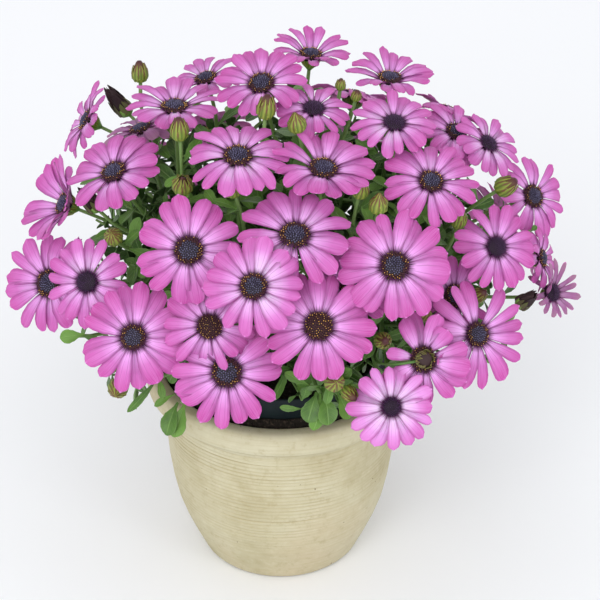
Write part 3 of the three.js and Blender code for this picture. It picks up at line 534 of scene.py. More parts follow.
def cut_blank(name, columns, outline):
    """A flat blade with its columns at given places and its rows where its outline has them."""
    rows = [share for share, width in outline]
    bm = new_piece()
    bmesh.ops.create_grid(bm, x_segments=len(columns) - 1, y_segments=len(rows) - 1, size=1)
    for vert in bm.verts:
        vert.co.x = columns[round((vert.co.x + 1) / 2 * (len(columns) - 1))]
        vert.co.y = rows[round((vert.co.y + 1) / 2 * (len(rows) - 1))]
    bmesh.ops.solidify(bm, geom=bm.faces[:], thickness=1)
    flat = bm.loops.layers.uv["blade"]
    for face in bm.faces:
        face.smooth = True
        face.material_index = 0 if all(vert.co.z > -0.5 for vert in face.verts) else 1
        for loop in face.loops:
            loop[flat].uv = ((loop.vert.co.x + 1) / 2, loop.vert.co.y)
    for edge in bm.edges:
        edge.smooth = edge.calc_face_angle(0) < SHARP_EDGE
    mesh = bpy.data.meshes.new(name)
    bm.to_mesh(mesh)
    bm.free()
    return mesh


def bend_blank(bm, blank, surface, thickness, tone, skins=(0, 1)):
    """Adds a blank, bent so that its point at (x, y) lies on surface(x, y)."""
    first_vert, first_face = len(bm.verts), len(bm.faces)
    bm.from_mesh(blank)
    bm.verts.ensure_lookup_table()
    bm.faces.ensure_lookup_table()
    layer = bm.verts.layers.float["tone"]
    for vert in bm.verts[first_vert:]:
        x, y, z = vert.co
        right = surface(x + LOOK_AROUND, y) - surface(x - LOOK_AROUND, y)
        ahead = surface(x, y + LOOK_AROUND) - surface(x, y - LOOK_AROUND)
        vert.co = surface(x, y) + right.cross(ahead).normalized() * (z + 0.5) * thickness
        vert[layer] = tone
    for face in bm.faces[first_face:]:
        face.material_index = skins[face.material_index]


def along_table(table, share):
    """A value read from a table of (share, value) rows."""
    share = min(max(share, table[0][0]), table[-1][0])
    for (low, first), (high, second) in zip(table, table[1:]):
        if share <= high:
            return first + (second - first) * (share - low) / (high - low)
    return table[-1][1]


petal_blank = cut_blank("petal_blank", [-1, -0.38, 0, 0.38, 1], PETAL_OUTLINE)
leaf_blank = cut_blank("leaf_blank", [-1, 0, 1], LEAF_OUTLINE)
bract_blank = cut_blank("bract_blank", [-1, 0, 1], BRACT_OUTLINE)
print("blanks:", [len(blank.polygons) for blank in (petal_blank, leaf_blank, bract_blank)], "faces")

# %% [markdown]
# ## Where every bloom stands
# The blooms lie on a dome. Each has a place across and up the line of sight, a distance proud of
# the dome, a radius, the way it faces and how far its petals cup. The far side has no such list:
# its blooms are drawn by rule and kept apart. These are the CAD model's own values, so that the
# looks and the solids agree.

# %% Bloom places
SIGHT_CENTRE = (12.3, 36.7)
MOUTH = Vector((0, 0, 138))
DOME = Vector((8, 10, 180))
DOME_RADII = Vector((165, 140, 155))
# across, up, proud of the dome, radius, facing across, up and toward, cup in degrees
SHOWN_BLOOMS = [
    (-122, 150, -2, 26, -0.86, 0.4, 0.31, 4), (-67, 158, 2, 31, -0.05, 0.84, 0.54, 6),
    (-47, 176, -26, 25, -0.25, 0.8, 0.54, 6), (-12, 173, 8, 29, -0.12, 0.6, 0.79, 8),
    (19, 191, -4, 26, 0.1, 0.84, 0.53, 18), (69, 176, 4, 28, 0.08, 0.84, 0.53, 14),
    (-105, 117, 4, 32, -0.36, 0.6, 0.71, 4), (-27, 127, 8, 32, 0.02, 0.68, 0.73, 0),
    (21, 157, -6, 24, 0.06, 0.7, 0.71, 0), (72, 148, 6, 27, 0.08, 0.66, 0.75, 0),
    (106, 155, -34, 24, 0.45, 0.85, -0.25, 10), (131, 135, 2, 24, 0.5, 0.52, 0.69, 0),
    (27, 119, -2, 32, 0.12, 0.7, 0.7, 16), (95, 111, 8, 31, 0.18, 0.52, 0.83, 2),
    (159, 102, 4, 27, 0.58, 0.2, 0.79, 2), (-136, 97, -4, 28, -0.8, 0.3, 0.52, 30),
    (-58, 68, 4, 34, -0.02, 0.06, 1, 2), (9, 77, 4, 35, 0.05, 0.52, 0.85, 2),
    (72, 58, 6, 35, 0.1, 0.2, 0.97, 2), (136, 70, 4, 28, 0.36, 0.14, 0.92, 2),
    (164, 63, -16, 21, 0.9, 0.1, 0.42, 10), (171, 41, 4, 18, 0.62, 0.12, 0.78, 14),
    (-146, 47, -8, 32, -0.44, 0.12, 0.89, 8), (-122, 48, 8, 28, -0.26, 0.06, 0.96, 2),
    (-17, 45, 14, 31, 0.02, 0.24, 0.97, 0), (-93, 13, 8, 34, -0.14, 0.02, 0.99, 2),
    (-45, 20, -3, 29, 0, -0.1, 0.99, 0), (-34, -9, -2, 35, 0, -0.02, 1, 2),
    (24, 20, 4, 35, 0.04, 0.12, 0.99, 2), (124, 15, 2, 35, 0.42, 0, 0.91, 4),
    (90, -1, 2, 30, 0.16, 0.02, 0.99, 4), (70, -31, 6, 27, 0.06, -0.04, 1, 2),
    (-88, 144, -22, 26, -0.3, 0.86, 0.41, 0), (111, 142, -20, 25, 0.3, 0.62, 0.72, 10),
    (45, 44, -26, 26, 0.1, 0.3, 0.95, 6), (110, 39, -22, 26, 0.3, 0.2, 0.93, 6),
]
FAR_BLOOMS = 12
FAR_TRIES = 4000
FAR_SPACING = 54
FAR_RADIUS = (27, 33)
FAR_RISE = (-0.12, 0.85)
FAR_REACH = 0.87  # share of the dome's outline, seen from the front, that they stay within
FAR_LIFT = 0.35  # how far they look up
FAR_CUP = radians(8)
DISC_SHARE = 0.27  # of a bloom's radius
DISCS = {
    7: 0.9, 10: 0.9, 12: 0.88, 14: 0.88, 17: 0.93, 18: 0.96, 19: 0.92, 20: 0.82, 22: 1.15, 24: 0.88,
    25: 0.96, 26: 0.84, 27: 0.95, 28: 0.96, 29: 0.9, 30: 0.77, 32: 0.77,
}  # disc sizes beside the solids' own


# %% Directions and places
FIRST_DEPTH = 100  # where the search for the dome's near side starts
DEPTH_ROUNDS = 4


def over(first, second):
    """One vector divided by another, axis by axis."""
    return Vector(a / b for a, b in zip(first, second))


def times(first, second):
    return Vector(a * b for a, b in zip(first, second))


def around(u, v, angle):
    """The direction at an angle from u toward v."""
    return u * cos(angle) + v * sin(angle)


def on_ball(rise, turn):
    """The direction with a given rise, turned about the upright."""
    flat = sqrt(max(0, 1 - rise * rise))
    return Vector((flat * cos(turn), flat * sin(turn), rise))


def square_to(direction):
    """Two directions square to each other and to a third one."""
    side = direction.cross(UPWARD)
    if side.length < 0.1:
        side = direction.cross(ACROSS)
    side.normalize()
    return side, direction.cross(side).normalized()


def square_part(vector, direction):
    """What is left of a vector that is made square to a direction."""
    return (vector - direction * vector.dot(direction)).normalized()


def place_at(across, up, depth):
    """A place on a line of sight, which is narrower where it is nearer the eye."""
    scale = 1 - depth / SIGHT_DISTANCE
    place = MOUTH + ACROSS * (SIGHT_CENTRE[0] + (across - SIGHT_CENTRE[0]) * scale)
    return place + UPWARD * (SIGHT_CENTRE[1] + (up - SIGHT_CENTRE[1]) * scale) + TOWARD * depth


def place_on_dome(across, up, proud):
    """Where a line of sight meets the dome's near side, moved toward the eye."""
    depth = FIRST_DEPTH
    along = over(TOWARD, DOME_RADII)
    for _ in range(DEPTH_ROUNDS):
        start = over(place_at(across, up, depth) - TOWARD * depth - DOME, DOME_RADII)
        a, b, c = along.dot(along), along.dot(start), start.dot(start) - 1
        depth = (-b + sqrt(max(0, b * b - a * c))) / a
    return place_at(across, up, depth + proud)


# %% Set out the blooms
blooms = []


def add_bloom(centre, facing, radius, cup):
    number, disc = len(blooms) + 1, radius * DISC_SHARE
    u = around(*square_to(facing), draw(number, 90) * TURN)
    blooms.append(SimpleNamespace(
        kind="bloom", number=number, name=f"bloom_{number:02d}", centre=centre, facing=facing,
        radius=radius, cup=cup, u=u, v=facing.cross(u), disc=disc, core=disc * DISCS.get(number, 1),
    ))


for across, up, proud, radius, *facing, cup in SHOWN_BLOOMS:
    add_bloom(place_on_dome(across, up, proud), sight(*facing).normalized(), radius, radians(cup))
tall = hypot(DOME_RADII.y * UPWARD.y, DOME_RADII.z * UPWARD.z)
for i in range(FAR_TRIES):
    if len(blooms) == len(SHOWN_BLOOMS) + FAR_BLOOMS:
        break
    outward = on_ball(between(FAR_RISE, draw(i, 4)), TURN * draw(i, 7))
    normal = over(outward, DOME_RADII).normalized()
    offset = times(outward, DOME_RADII)
    reach = hypot(offset.x / DOME_RADII.x, offset.dot(UPWARD) / tall)
    centre = DOME + offset * min(1, FAR_REACH / reach)
    hidden = normal.dot(TOWARD) < -0.1 and reach < FAR_REACH * 1.2
    if hidden and all((bloom.centre - centre).length > FAR_SPACING for bloom in blooms):
        facing = (normal + Vector((0, 0, FAR_LIFT))).normalized()
        add_bloom(centre, facing, between(FAR_RADIUS, draw(i, 5)), FAR_CUP * draw(i, 6))
print("blooms:", len(blooms))


# %% [markdown]
# ## Reading the solids
# In the CAD model each petal lifts or dips by one of a few angles, whichever keeps it off its
# neighbours, and stalks and leaves keep only the places where they are clear. Rather than list the
# outcome, the lesson looks it up: it works out where a solid's corner would be for each choice and
# asks a k-d tree of the node's points whether it is there. Where blooms crowd, a few petals found
# no room in the solids. Those that show, and some beside them, are posed one by one here.


# %% Look up corners in a CAD node
CORNER_REACH = 0.06  # how near a corner must be to count as found


def corner_finder(node):
    """A function that says whether the node has a corner at a place, in millimetres."""
    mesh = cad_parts[node].data
    tree = kdtree.KDTree(len(mesh.vertices))
    for index, vert in enumerate(mesh.vertices):
        tree.insert(vert.co / MM, index)
    tree.balance()
    return lambda place: tree.find(place)[2] < CORNER_REACH


def bloom_point(bloom, out, angle, height):
    return bloom.centre + around(bloom.u, bloom.v, angle) * out + bloom.facing * height


# %% Which opening each petal took
PETAL_PAIRS = 8
# lift in degrees and share of its length, for each choice that the CAD model has
OPENINGS = [
    (0, 1), (6, 1), (12, 1), (-5, 1), (20, 1), (30, 1), (-11, 1), (42, 1), (-18, 1), (0, 0.8), (20, 0.7),
    (-11, 0.7),
]
# for some petals of a bloom: lift in degrees, share of its length, share of its width
POSED = {
    2: {1: (4, 1, 0.6), 2: (2, 1, 0.55), 3: (0, 1, 0.65), 13: (-2, 0.9, 1), 14: (2, 0.94, 1)},
    13: {11: (2, 0.94, 0.75), 12: (-2, 1, 0.6), 13: (8, 1, 0.55), 14: (-4, 0.96, 0.6)},
    18: {6: (-6, 1, 1), 7: (-20, 1, 1), 8: (-36, 1, 1), 9: (-42, 1, 1), 10: (-34, 1, 1), 11: (-12, 1, 1)},
    25: {0: (9, 1, 1), 12: (8, 1, 1), 13: (14, 1, 1.1), 14: (17, 1, 1.1), 15: (15, 1, 1)},
    27: {4: (-13, 1, 1), 5: (-19, 1, 0.9), 6: (10, 1, 0.6), 7: (4, 0.9, 0.8)},
    28: {15: (8, 1, 1)},
    31: {
        0: (12, 1, 1.4), 2: (34, 0.8, 1.1), 5: (10, 1, 1.1), 7: (8, 0.85, 0.8), 9: (-30, 0.9, 1),
        10: (-36, 0.9, 1), 11: (-36, 0.9, 1), 12: (-15, 1, 1), 13: (-6, 1, 1.1), 15: (6, 1, 1.4),
    },
    32: {
        5: (18, 0.96, 1), 6: (20, 1, 1), 7: (22, 1, 1), 8: (22, 1, 1), 9: (22, 1, 1), 10: (18, 1, 1),
        11: (12, 1, 1),
    },
    34: {5: (4, 0.9, 1)},
}
CUPPED = {1: 6, 2: 7, 4: 4, 5: 8, 6: 8, 16: 8}  # degrees more than in the solids
FALLEN = {(31, 1), (31, 6), (31, 8), (16, 5), (30, 7), (21, 3)}  # petals that have dropped

# %% Read the petals
PETAL_WANDER = 0.07
PETAL_REACH = (0.95, 1.02)
PETAL_HALF_TIP = 0.08
TIP_HEIGHTS = (-1.5, 1.2)  # of the lower and the upper layer


def read_petals(bloom):
    """The angle, length and lift of each petal, even slots in the lower layer."""
    has_corner = corner_finder(bloom.name)
    posed = POSED.get(bloom.number, {})
    petals = []
    for slot in range(2 * PETAL_PAIRS):
        layer = slot % 2
        angle = slot * pi / PETAL_PAIRS + (draw(bloom.number, slot) - 0.5) * PETAL_WANDER
        reach = bloom.radius * between(PETAL_REACH, draw(bloom.number, slot + 40))
        tip = bloom.radius * PETAL_HALF_TIP
        petal = SimpleNamespace(slot=slot, layer=layer, angle=angle, width=1, lift=None)
        for degrees, shrink in OPENINGS:
            length = reach * shrink
            lift = bloom.cup + radians(degrees) * (1 if layer else -1)
            height = TIP_HEIGHTS[layer] + (length - bloom.disc) * tan(lift)
            out, turn = hypot(length, tip), atan2(tip, length)
            if all(has_corner(bloom_point(bloom, out, angle + way * turn, height)) for way in (1, -1)):
                petal.length, petal.lift = length, lift
                break
        if slot in posed:
            degrees, shrink, petal.width = posed[slot]
            petal.length, petal.lift = reach * shrink, bloom.cup + radians(degrees)
        if petal.lift is not None and (bloom.number, slot) not in FALLEN:
            petal.lift += radians(CUPPED.get(bloom.number, 0))
            petals.append(petal)
    return petals


for bloom in blooms:
    bloom.petals = read_petals(bloom)
print("petals:", sum(len(bloom.petals) for bloom in blooms), "of", len(blooms) * 2 * PETAL_PAIRS)

# %% [markdown]
# ## Bend the petals
# An open petal leaves the disc in a shallow channel, arches over and dips at its tip. Two folds
# run along it, so it catches light in three soft bands. Upper petals ride over the edges of the
# lower ones. Length, width, twist and sideways sweep are drawn for each petal, because a flower
# with equal petals looks stamped.

# %% Petal surfaces
HALF_WIDTH = 0.15  # of a petal at its widest, as a share of the bloom's radius
LAYER_ROOT = (-0.5, 0.5)
LAYER_RISE = (-1, 1.3)
LAYER_EDGES = ((-0.2, 0.7), (-0.9, 0.1))  # how the sides of lower and of upper petals turn
# ranges that each petal draws from, as shares of its width, length or bloom's radius, or radians
WIDTH_DRAWS, LENGTH_DRAWS, SWEEP_DRAWS = (0.76, 1.22), (0.95, 1.01), (-0.1, 0.1)
TWIST_DRAWS, CURL_DRAWS, LIFT_DRAWS = (-0.28, 0.28), (-0.15, 0.02), (-0.08, 0.08)
FOLD, FOLD_DRAWS = 0.45, (0.5, 1.3)
NOTCH, NOTCHED_FROM = 0.02, 0.65  # the depth of a notch, and the draw above which a tip has one
PETAL_ROOT = 0.8  # of the disc's radius
NEAR, DROOP_LIMIT, PERK_LIMIT = 0.15, -0.55, 0.5
TURNED_AWAY = {11, 44, 45, 47}  # blooms that lie level or lean back a little at the top of the bush
PERKED = {11}  # and this one's far petals stand up
QUILLED = {22}
LENGTHS = {22: 1.26}
WIDTHS = {
    22: 1.8, 2: 0.9, 3: 0.9, 5: 0.9, 6: 0.9, 10: 0.9, 14: 0.88, 13: 1.08, 15: 0.9, 16: 1.1, 19: 1.08,
    20: 0.93, 24: 0.9, 30: 0.84, 31: 1.1,
}


def petal_way(bloom, petal):
    """The direction in which a petal leaves its disc."""
    return bloom_point(bloom, 1, petal.angle, 0) - bloom.centre


def eased_lift(bloom, petal):
    """A petal's lift, eased on a bloom that leans back: its near petals droop."""
    lift = petal.lift
    outward = petal_way(bloom, petal).dot(TOWARD)
    level = atan2(bloom.facing.dot(TOWARD), abs(outward))
    if bloom.number in TURNED_AWAY and outward > NEAR:
        lift = max(DROOP_LIMIT, min(lift, level - 0.15))
    if bloom.number in PERKED and outward < -NEAR:
        lift = min(PERK_LIMIT, max(lift, 0.1 - level))
    return lift


def petal_surface(bloom, petal):
    number, radius, layer = bloom.number, bloom.radius, petal.layer
    quilled = number in QUILLED
    chances = [draw(number * 3 + 7, petal.slot * 11 + turn) for turn in range(10)]
    outline = QUILL_OUTLINE if quilled else PETAL_OUTLINE
    wide = radius * HALF_WIDTH * between(WIDTH_DRAWS, chances[1]) * petal.width * WIDTHS.get(number, 1)
    sweep = radius * between(SWEEP_DRAWS, chances[2])
    twist = between(TWIST_DRAWS, chances[3])
    curl = radius * between(CURL_DRAWS, chances[4])
    fold = FOLD * between(FOLD_DRAWS, chances[5])
    notch = radius * (NOTCH if chances[6] > NOTCHED_FROM else 0)
    edge = between(LAYER_EDGES[layer], chances[7])
    root = bloom.core * PETAL_ROOT
    reach = petal.length * LENGTHS.get(number, 1) * between(LENGTH_DRAWS, chances[8])
    if quilled:
        lean = petal_way(bloom, petal).dot(sight(0.6, 0.8, 0).normalized())
        reach *= between((0.68, 1.06), 0.5 + 0.5 * lean)
    rise = tan(eased_lift(bloom, petal) + between(LIFT_DRAWS, chances[9]))
    ahead, aside = cos(petal.angle), sin(petal.angle)

    def surface(x, y):
        end = max(0, (y - 0.7) / 0.3)
        out = root + (reach - root) * y - radius * 0.03 * x * x * end * end
        out -= notch * max(0, 1 - 4 * x * x) * end * end
        across = sweep * y * y - x * wide * along_table(outline, y)
        height = LAYER_ROOT[layer] + (LAYER_RISE[layer] - LAYER_ROOT[layer]) * min(1, y * 2)
        height += (out - bloom.disc) * rise + radius * 0.045 * sin(pi * min(1, y * 1.1)) + curl * y * y * y
        height += fold * sin(pi * min(1, y + 0.1)) * cos(2.4 * pi * x) * (0.5 if quilled else 1)
        height += (edge * y + 1.1 * (1 - y)) * x * x + across * sin(twist * y)
        flat = bloom.u * (out * ahead - across * aside) + bloom.v * (out * aside + across * ahead)
        return bloom.centre + flat + bloom.facing * height

    return surface


# %% [markdown]
# ## Set the florets
# Florets pack a disc in a spiral: each stands a golden angle on from the last, at a radius that
# grows as the square root of its number, which keeps the spacing even. The inner ones are closed
# buds, the outer ones have opened and hold pollen. Young discs are closed all over, and old ones
# are open all over.

# %% Disc of a bloom
YOUNG = {9, 10, 12, 20, 22, 24, 32}
OLD = {27, 29, 31}
FLORETS = 130
OPEN_FROM = 0.66  # share of the disc's radius where open florets start
DISC_RISE = 2.2
OPEN_HEIGHTS = (1.5, 2.3)
CLOSED_HEIGHT = 1.5
POLLEN_SIZES = (0.14, 0.3)  # beside a floret's room
FRINGE_POINTS = 22
FRINGE_LEANS = (2.6, 6)
FRINGE_LENGTHS = (0.15, 0.27)  # beside the disc's radius
PETAL, PETAL_UNDER, CLOSED, OPEN, POLLEN, FRINGE = range(6)


# %% Pegs and florets
def stand_on(bloom, out, angle, height, lean):
    """A matrix whose Z leans outward from the disc's middle."""
    direction = (bloom.facing + around(bloom.u, bloom.v, angle) * lean).normalized()
    return pointed(direction, bloom_point(bloom, out, angle, height))


def cone(bm, matrix, sides, foot, top, depth, skin, tones=(0, 1)):
    """A tapering peg that stands on the matrix's XY plane."""
    seat = matrix @ Matrix.Translation((0, 0, depth / 2))
    verts = bmesh.ops.create_cone(
        bm, cap_ends=True, segments=sides, radius1=foot, radius2=top, depth=depth, matrix=seat
    )["verts"]
    back = matrix.inverted()
    paint(bm, verts, skin, lambda place: tones[(back @ place).z > depth / 2])


def set_disc(bm, bloom):
    disc, number = bloom.core, bloom.number
    dome = stand_on(bloom, 0, 0, 0.2, 0) @ Matrix.Diagonal((disc * 0.94, disc * 0.94, 3, 1))
    verts = bmesh.ops.create_uvsphere(bm, u_segments=14, v_segments=8, radius=1, matrix=dome)["verts"]
    paint(bm, verts, OPEN, lambda place: 0.1)
    room = disc * sqrt(pi / FLORETS)
    for k in range(FLORETS):
        share = sqrt((k + 0.5) / FLORETS)
        chance = draw(number * 5 + 1, k)
        height = DISC_RISE * (1 - share * share)
        place = stand_on(bloom, disc * share * 0.88, k * GOLDEN_ANGLE, height, share * 0.6)
        if number in OLD or (number not in YOUNG and share > OPEN_FROM):
            tall = between(OPEN_HEIGHTS, chance)
            cone(bm, place, 5, room * 0.3, room * 0.52, tall, OPEN)
            if chance > 0.55 and share < 0.95:
                grain = place @ Matrix.Translation((0, 0, tall + 0.1))
                size = room * between(POLLEN_SIZES, draw(number * 5 + 2, k))
                cone(bm, grain, 4, size, size * 0.4, 0.5, POLLEN, (0.1 + 0.5 * chance, 0.9))
        else:
            tall = CLOSED_HEIGHT + 0.5 * chance + 0.5 * (1 - share)
            cone(bm, place, 6, room * 0.54, room * 0.28, tall, CLOSED, (0, 0.55 + 0.45 * chance))


def set_fringe(bm, bloom):
    """Slim dark points that lie outward on the feet of the petals."""
    disc, number = bloom.core, bloom.number
    for k in range(FRINGE_POINTS):
        angle = (k + 0.6 * draw(number, 300 + k)) / FRINGE_POINTS * TURN
        place = stand_on(bloom, disc * 0.8, angle, 1.4, between(FRINGE_LEANS, draw(number, 340 + k)))
        long = disc * between(FRINGE_LENGTHS, draw(number, 380 + k))
        cone(bm, place, 3, disc * 0.08, disc * 0.02, long, FRINGE)


# %% [markdown]
# ## The finished blooms
# Each bloom is one piece: petals, disc and fringe. One right-hand petal of bloom 19 is as broad as
# two, which happens when two petals grow together.

# %% Make the blooms
PETAL_THICK = 0.4
DULL_AND_SHADED = {22, 33}  # bloom 22, past its best, shows greyer quilled petals; bloom 33 sits low in shade and gets the same greyer petals as painted shade
PALE = {
    1: 0.25, 2: 0.25, 8: 0.25, 10: 0.4, 12: 0.4, 13: -0.05, 17: 0, 18: 0.15, 19: -0.05, 20: -0.05,
    24: 0.3, 25: 0.45, 26: -0.05, 27: 0, 28: -0.05, 29: -0.1, 30: 0, 31: 0, 32: 1,
}
BROAD_BLOOM, BROAD_WAY, BROAD_WIDTH = 19, sight(0.99, -0.1, 0), 1.65
upper = [petal for petal in blooms[BROAD_BLOOM - 1].petals if petal.layer]
broad = max(upper, key=lambda petal: petal_way(blooms[BROAD_BLOOM - 1], petal).dot(BROAD_WAY))
broad.width = BROAD_WIDTH


def make_bloom(bloom):
    number = bloom.number
    bm = new_piece()
    for petal in bloom.petals:
        tone = 0.6 * draw(number + 60, petal.slot) + PALE.get(number, 0.05)
        bend_blank(bm, petal_blank, petal_surface(bloom, petal), PETAL_THICK, tone)
    set_disc(bm, bloom)
    set_fringe(bm, bloom)
    # bloom 33's greyer petals are painted shade, while bloom 22's are its own colour
    top = petal_dull_and_shade if number in DULL_AND_SHADED else petal_top
    closed = floret_young if number in YOUNG else floret_closed
    skins = [top, petal_back, closed, floret_open, pollen, fringe]
    finish_piece(bm, f"daisy_{number:02d}", skins, bloom.name)


for bloom in blooms:
    make_bloom(bloom)
print("blooms made, triangles so far:", triangle_count)

# %% [markdown]
# ## Shoots, stalks and what they carry
# Eight shoots rise from the compost. Each forks into the stalks of its blooms and buds. A stalk is
# a curve with four handles: it leaves its shoot, bends aside if it has to pass another, and comes
# up under what it carries. The lesson tries the same starts and bends as the CAD model, and takes
# the one whose middle ring the node has.

# %% Shoot and stalk curves
SHOOTS = 7  # in a ring, and one more in the middle
SHOOT_RING = 32
SHOOT_FOOT = 121
CROWN_OUT = 66
CROWN_HEIGHT = 216
MIDDLE_RISE = 26
MIDDLE_REACH = 62
STALK_RADIUS = 1.3
CALYX_DEPTH = 8
DISC_HALF = 1.4
STALK_SHARES = (0.95, 0.87, 0.79, 0.71, 0.63, 0.55, 0.99, 0.91, 0.83, 0.75, 0.67, 0.59, 0.5)
STALK_BOWS = (0, 12, -12, 24, -24, 36, -36)
SHOOT_RUNS = (0, 0.25, 0.6, 1)
STALK_RUNS = (0, 0.5, 1)


def bezier(handles, share):
    """A point on a curve with any number of handles, by de Casteljau's halving."""
    points = list(handles)
    while len(points) > 1:
        points = [a.lerp(b, share) for a, b in zip(points, points[1:])]
    return points[0]


def heading(handles, share):
    low, high = max(0, share - 1e-3), min(1, share + 1e-3)
    return (bezier(handles, high) - bezier(handles, low)).normalized()


def on_run(handles, share, runs):
    """A place on the straight runs that the solids make of a curve, and the run's direction."""
    i = next(index for index, end in enumerate(runs) if share <= end)
    low, high = bezier(handles, runs[i - 1]), bezier(handles, runs[i])
    part = (share - runs[i - 1]) / (runs[i] - runs[i - 1])
    return low.lerp(high, part), (high - low).normalized()


# %% Set out the shoots
shoots = []
for i in range(SHOOTS + 1):
    spoke = Vector() if i == SHOOTS else on_ball(0, (i + 0.5) / SHOOTS * TURN - pi / 2)
    root = Vector((spoke.x * SHOOT_RING, spoke.y * SHOOT_RING, SHOOT_FOOT))
    top = CROWN_HEIGHT + (MIDDLE_RISE if i == SHOOTS else 0)
    crown = Vector((DOME.x, DOME.y, top)) + spoke * CROWN_OUT
    above = Vector((root.x, root.y, root.z + 0.55 * (crown.z - root.z)))
    name = f"leafy_stem_{i + 1}"
    shoots.append(SimpleNamespace(
        name=name, curve=[root, above, crown], stalks=[], has_corner=corner_finder(name)
    ))


def shoot_for(place):
    offset = place - DOME
    if hypot(offset.x, offset.y) < MIDDLE_REACH:
        return shoots[-1]
    turn = (atan2(offset.y, offset.x) + pi / 2) % TURN
    return shoots[int(turn / TURN * SHOOTS) % SHOOTS]


def find_stalk(centre, facing, neck):
    """The shoot that carries a bloom or bud, and the curve of its stalk in the solids."""
    shoot = shoot_for(centre)
    for bow in STALK_BOWS:
        for share in STALK_SHARES:
            start = on_run(shoot.curve, share, SHOOT_RUNS)[0]
            away = (heading(shoot.curve, share) + (centre - start).normalized() * 0.8).normalized()
            aside = square_to(away)[0] * bow
            reach = (neck - start).length
            leaving, coming = start + away * reach * 0.35 + aside, neck - facing * reach * 0.4 + aside / 2
            handles = [start, leaving, coming, neck]
            u, v = square_to(heading(handles, 0.5))
            ring = [bezier(handles, 0.5) + around(u, v, k * TURN / 3) * STALK_RADIUS for k in range(3)]
            if sum(map(shoot.has_corner, ring)) >= 2:
                shoot.stalks.append(handles)
                return shoot, handles


# %% Stalks of the blooms, buds and tufts
# across, up, proud of the dome, radius, length, facing across, up and toward
BUDS = [
    (-89, 181, 0, 5, 14, -0.05, 0.95, 0.3), (-9, 159, 16, 5.5, 16, 0.1, 0.8, 0.5),
    (-64, 145, 14, 5.5, 15, -0.05, 0.85, 0.5), (-62, 110, -4, 6, 14, 0, 0.6, 0.8),
    (-31, 108, -8, 5.5, 13, -0.3, 0.7, 0.6), (10, 149, 6, 5.5, 13, -0.2, 0.8, 0.5),
    (38, 173, -4, 4, 10, 0.1, 0.9, 0.4), (48, 166, -4, 4, 9, 0.2, 0.8, 0.5),
    (51, 107, -2, 5, 13, 0.2, 0.7, 0.7), (62, 98, 2, 5.5, 14, 0.05, 0.8, 0.6),
    (143, 109, 8, 6, 15, 0.75, 0.4, 0.5), (-106, 77, -2, 5.5, 12, -0.2, 0.3, 0.9),
    (34, -15, 0, 6, 13, 0.1, 0, 1), (-103, -20, -10, 6, 14, -0.1, -0.5, 0.8),
    (65, 11, -10, 5, 13, 0.2, 0, 1), (91, 28, -10, 4.5, 12, 0.3, 0.2, 0.9),
    (126, 40, -12, 4.5, 12, 0.5, 0.3, 0.8), (113, 88, -8, 4.5, 13, 0.2, 0.8, 0.6),
    (44, -23, -8, 4.5, 12, 0.5, -0.5, 0.7), (-103, 162, -4, 6.5, 24, -0.6, 0.65, 0.4),
    (-121, 100, -4, 6.5, 20, -0.55, 0.6, 0.5), (156, 37, -2, 7, 20, 0.2, 0.7, 0.65),
]
LEANING = {21: (0.72, 0.5, 0.48)}  # a head that has sunk to one side
SMALLER = {6: 0.76, 7: 0.8, 21: 0.82}  # heads that have shrunk since, by this share
CLOSING = {19, 20, 21}  # blooms that have closed
# a tuft's foot across, up and proud of the dome, then how it is drawn in behind the blooms
TUFTS = [
    (-66, -36, -26, 3, 7.5, -2), (-82, -24, -16, 4.5, 11, -6), (26, -30, -24, -1, 8, -2),
    (36, -36, -16, 0, 13, -3), (-130, 14, 4, 0, 0, 0), (158, 80, -4, 0, 0, 0),
]

# %% Find the stalks
for bloom in blooms:
    neck = bloom.centre - bloom.facing * (DISC_HALF + CALYX_DEPTH)
    bloom.shoot, bloom.stalk = find_stalk(bloom.centre, bloom.facing, neck)
buds = []
for number, (across, up, proud, radius, length, *facing) in enumerate(BUDS):
    centre, facing = place_on_dome(across, up, proud), sight(*facing).normalized()
    shoot, stalk = find_stalk(centre, facing, centre - facing * length * 0.5)
    if number in LEANING:
        facing = sight(*LEANING[number]).normalized()
    if number in SMALLER:
        radius, length = radius * SMALLER[number], length * SMALLER[number]
        stalk = stalk[:3] + [centre - facing * length * 0.5]
    buds.append(SimpleNamespace(
        kind="closing" if number in CLOSING else "bud", number=number, centre=centre, facing=facing,
        radius=radius, length=length, shoot=shoot, stalk=stalk,
    ))
tufts = []
for across, up, proud, *shift in TUFTS:
    centre = place_on_dome(across, up, proud)
    shoot, stalk = find_stalk(centre, sight(across / 100, up / 100, 0.5).normalized(), centre)
    offset = sight(*shift)
    moved = [stalk[0], stalk[1] + offset * 0.3, stalk[2] + offset, stalk[3] + offset]
    tufts.append(SimpleNamespace(shoot=shoot, stalk=moved))
print("stalks found:", len(blooms), "of blooms,", len(buds), "of buds and", len(tufts), "of tufts")

# %% [markdown]
# ## Leaves
# The solids hold a dozen large leaves on each shoot. A real bush has many times that, in twigs that
# fill the dome under the blooms and hide the bare stems, so the lesson grows twigs too. A new leaf
# is kept only where it stays under the dome and doesn't poke through a bloom or hide its face.

# %% Leaf surfaces
LEAF_WIDTH = 0.44  # share of its length, as are the three below
LEAF_DROOP = 0.16
LEAF_CURVES = (-0.14, 0.14)
LOPSIDED = (-0.05, 0.05)
LEAF_FOLDS = (0.12, 0.42)  # the slope of a leaf's halves


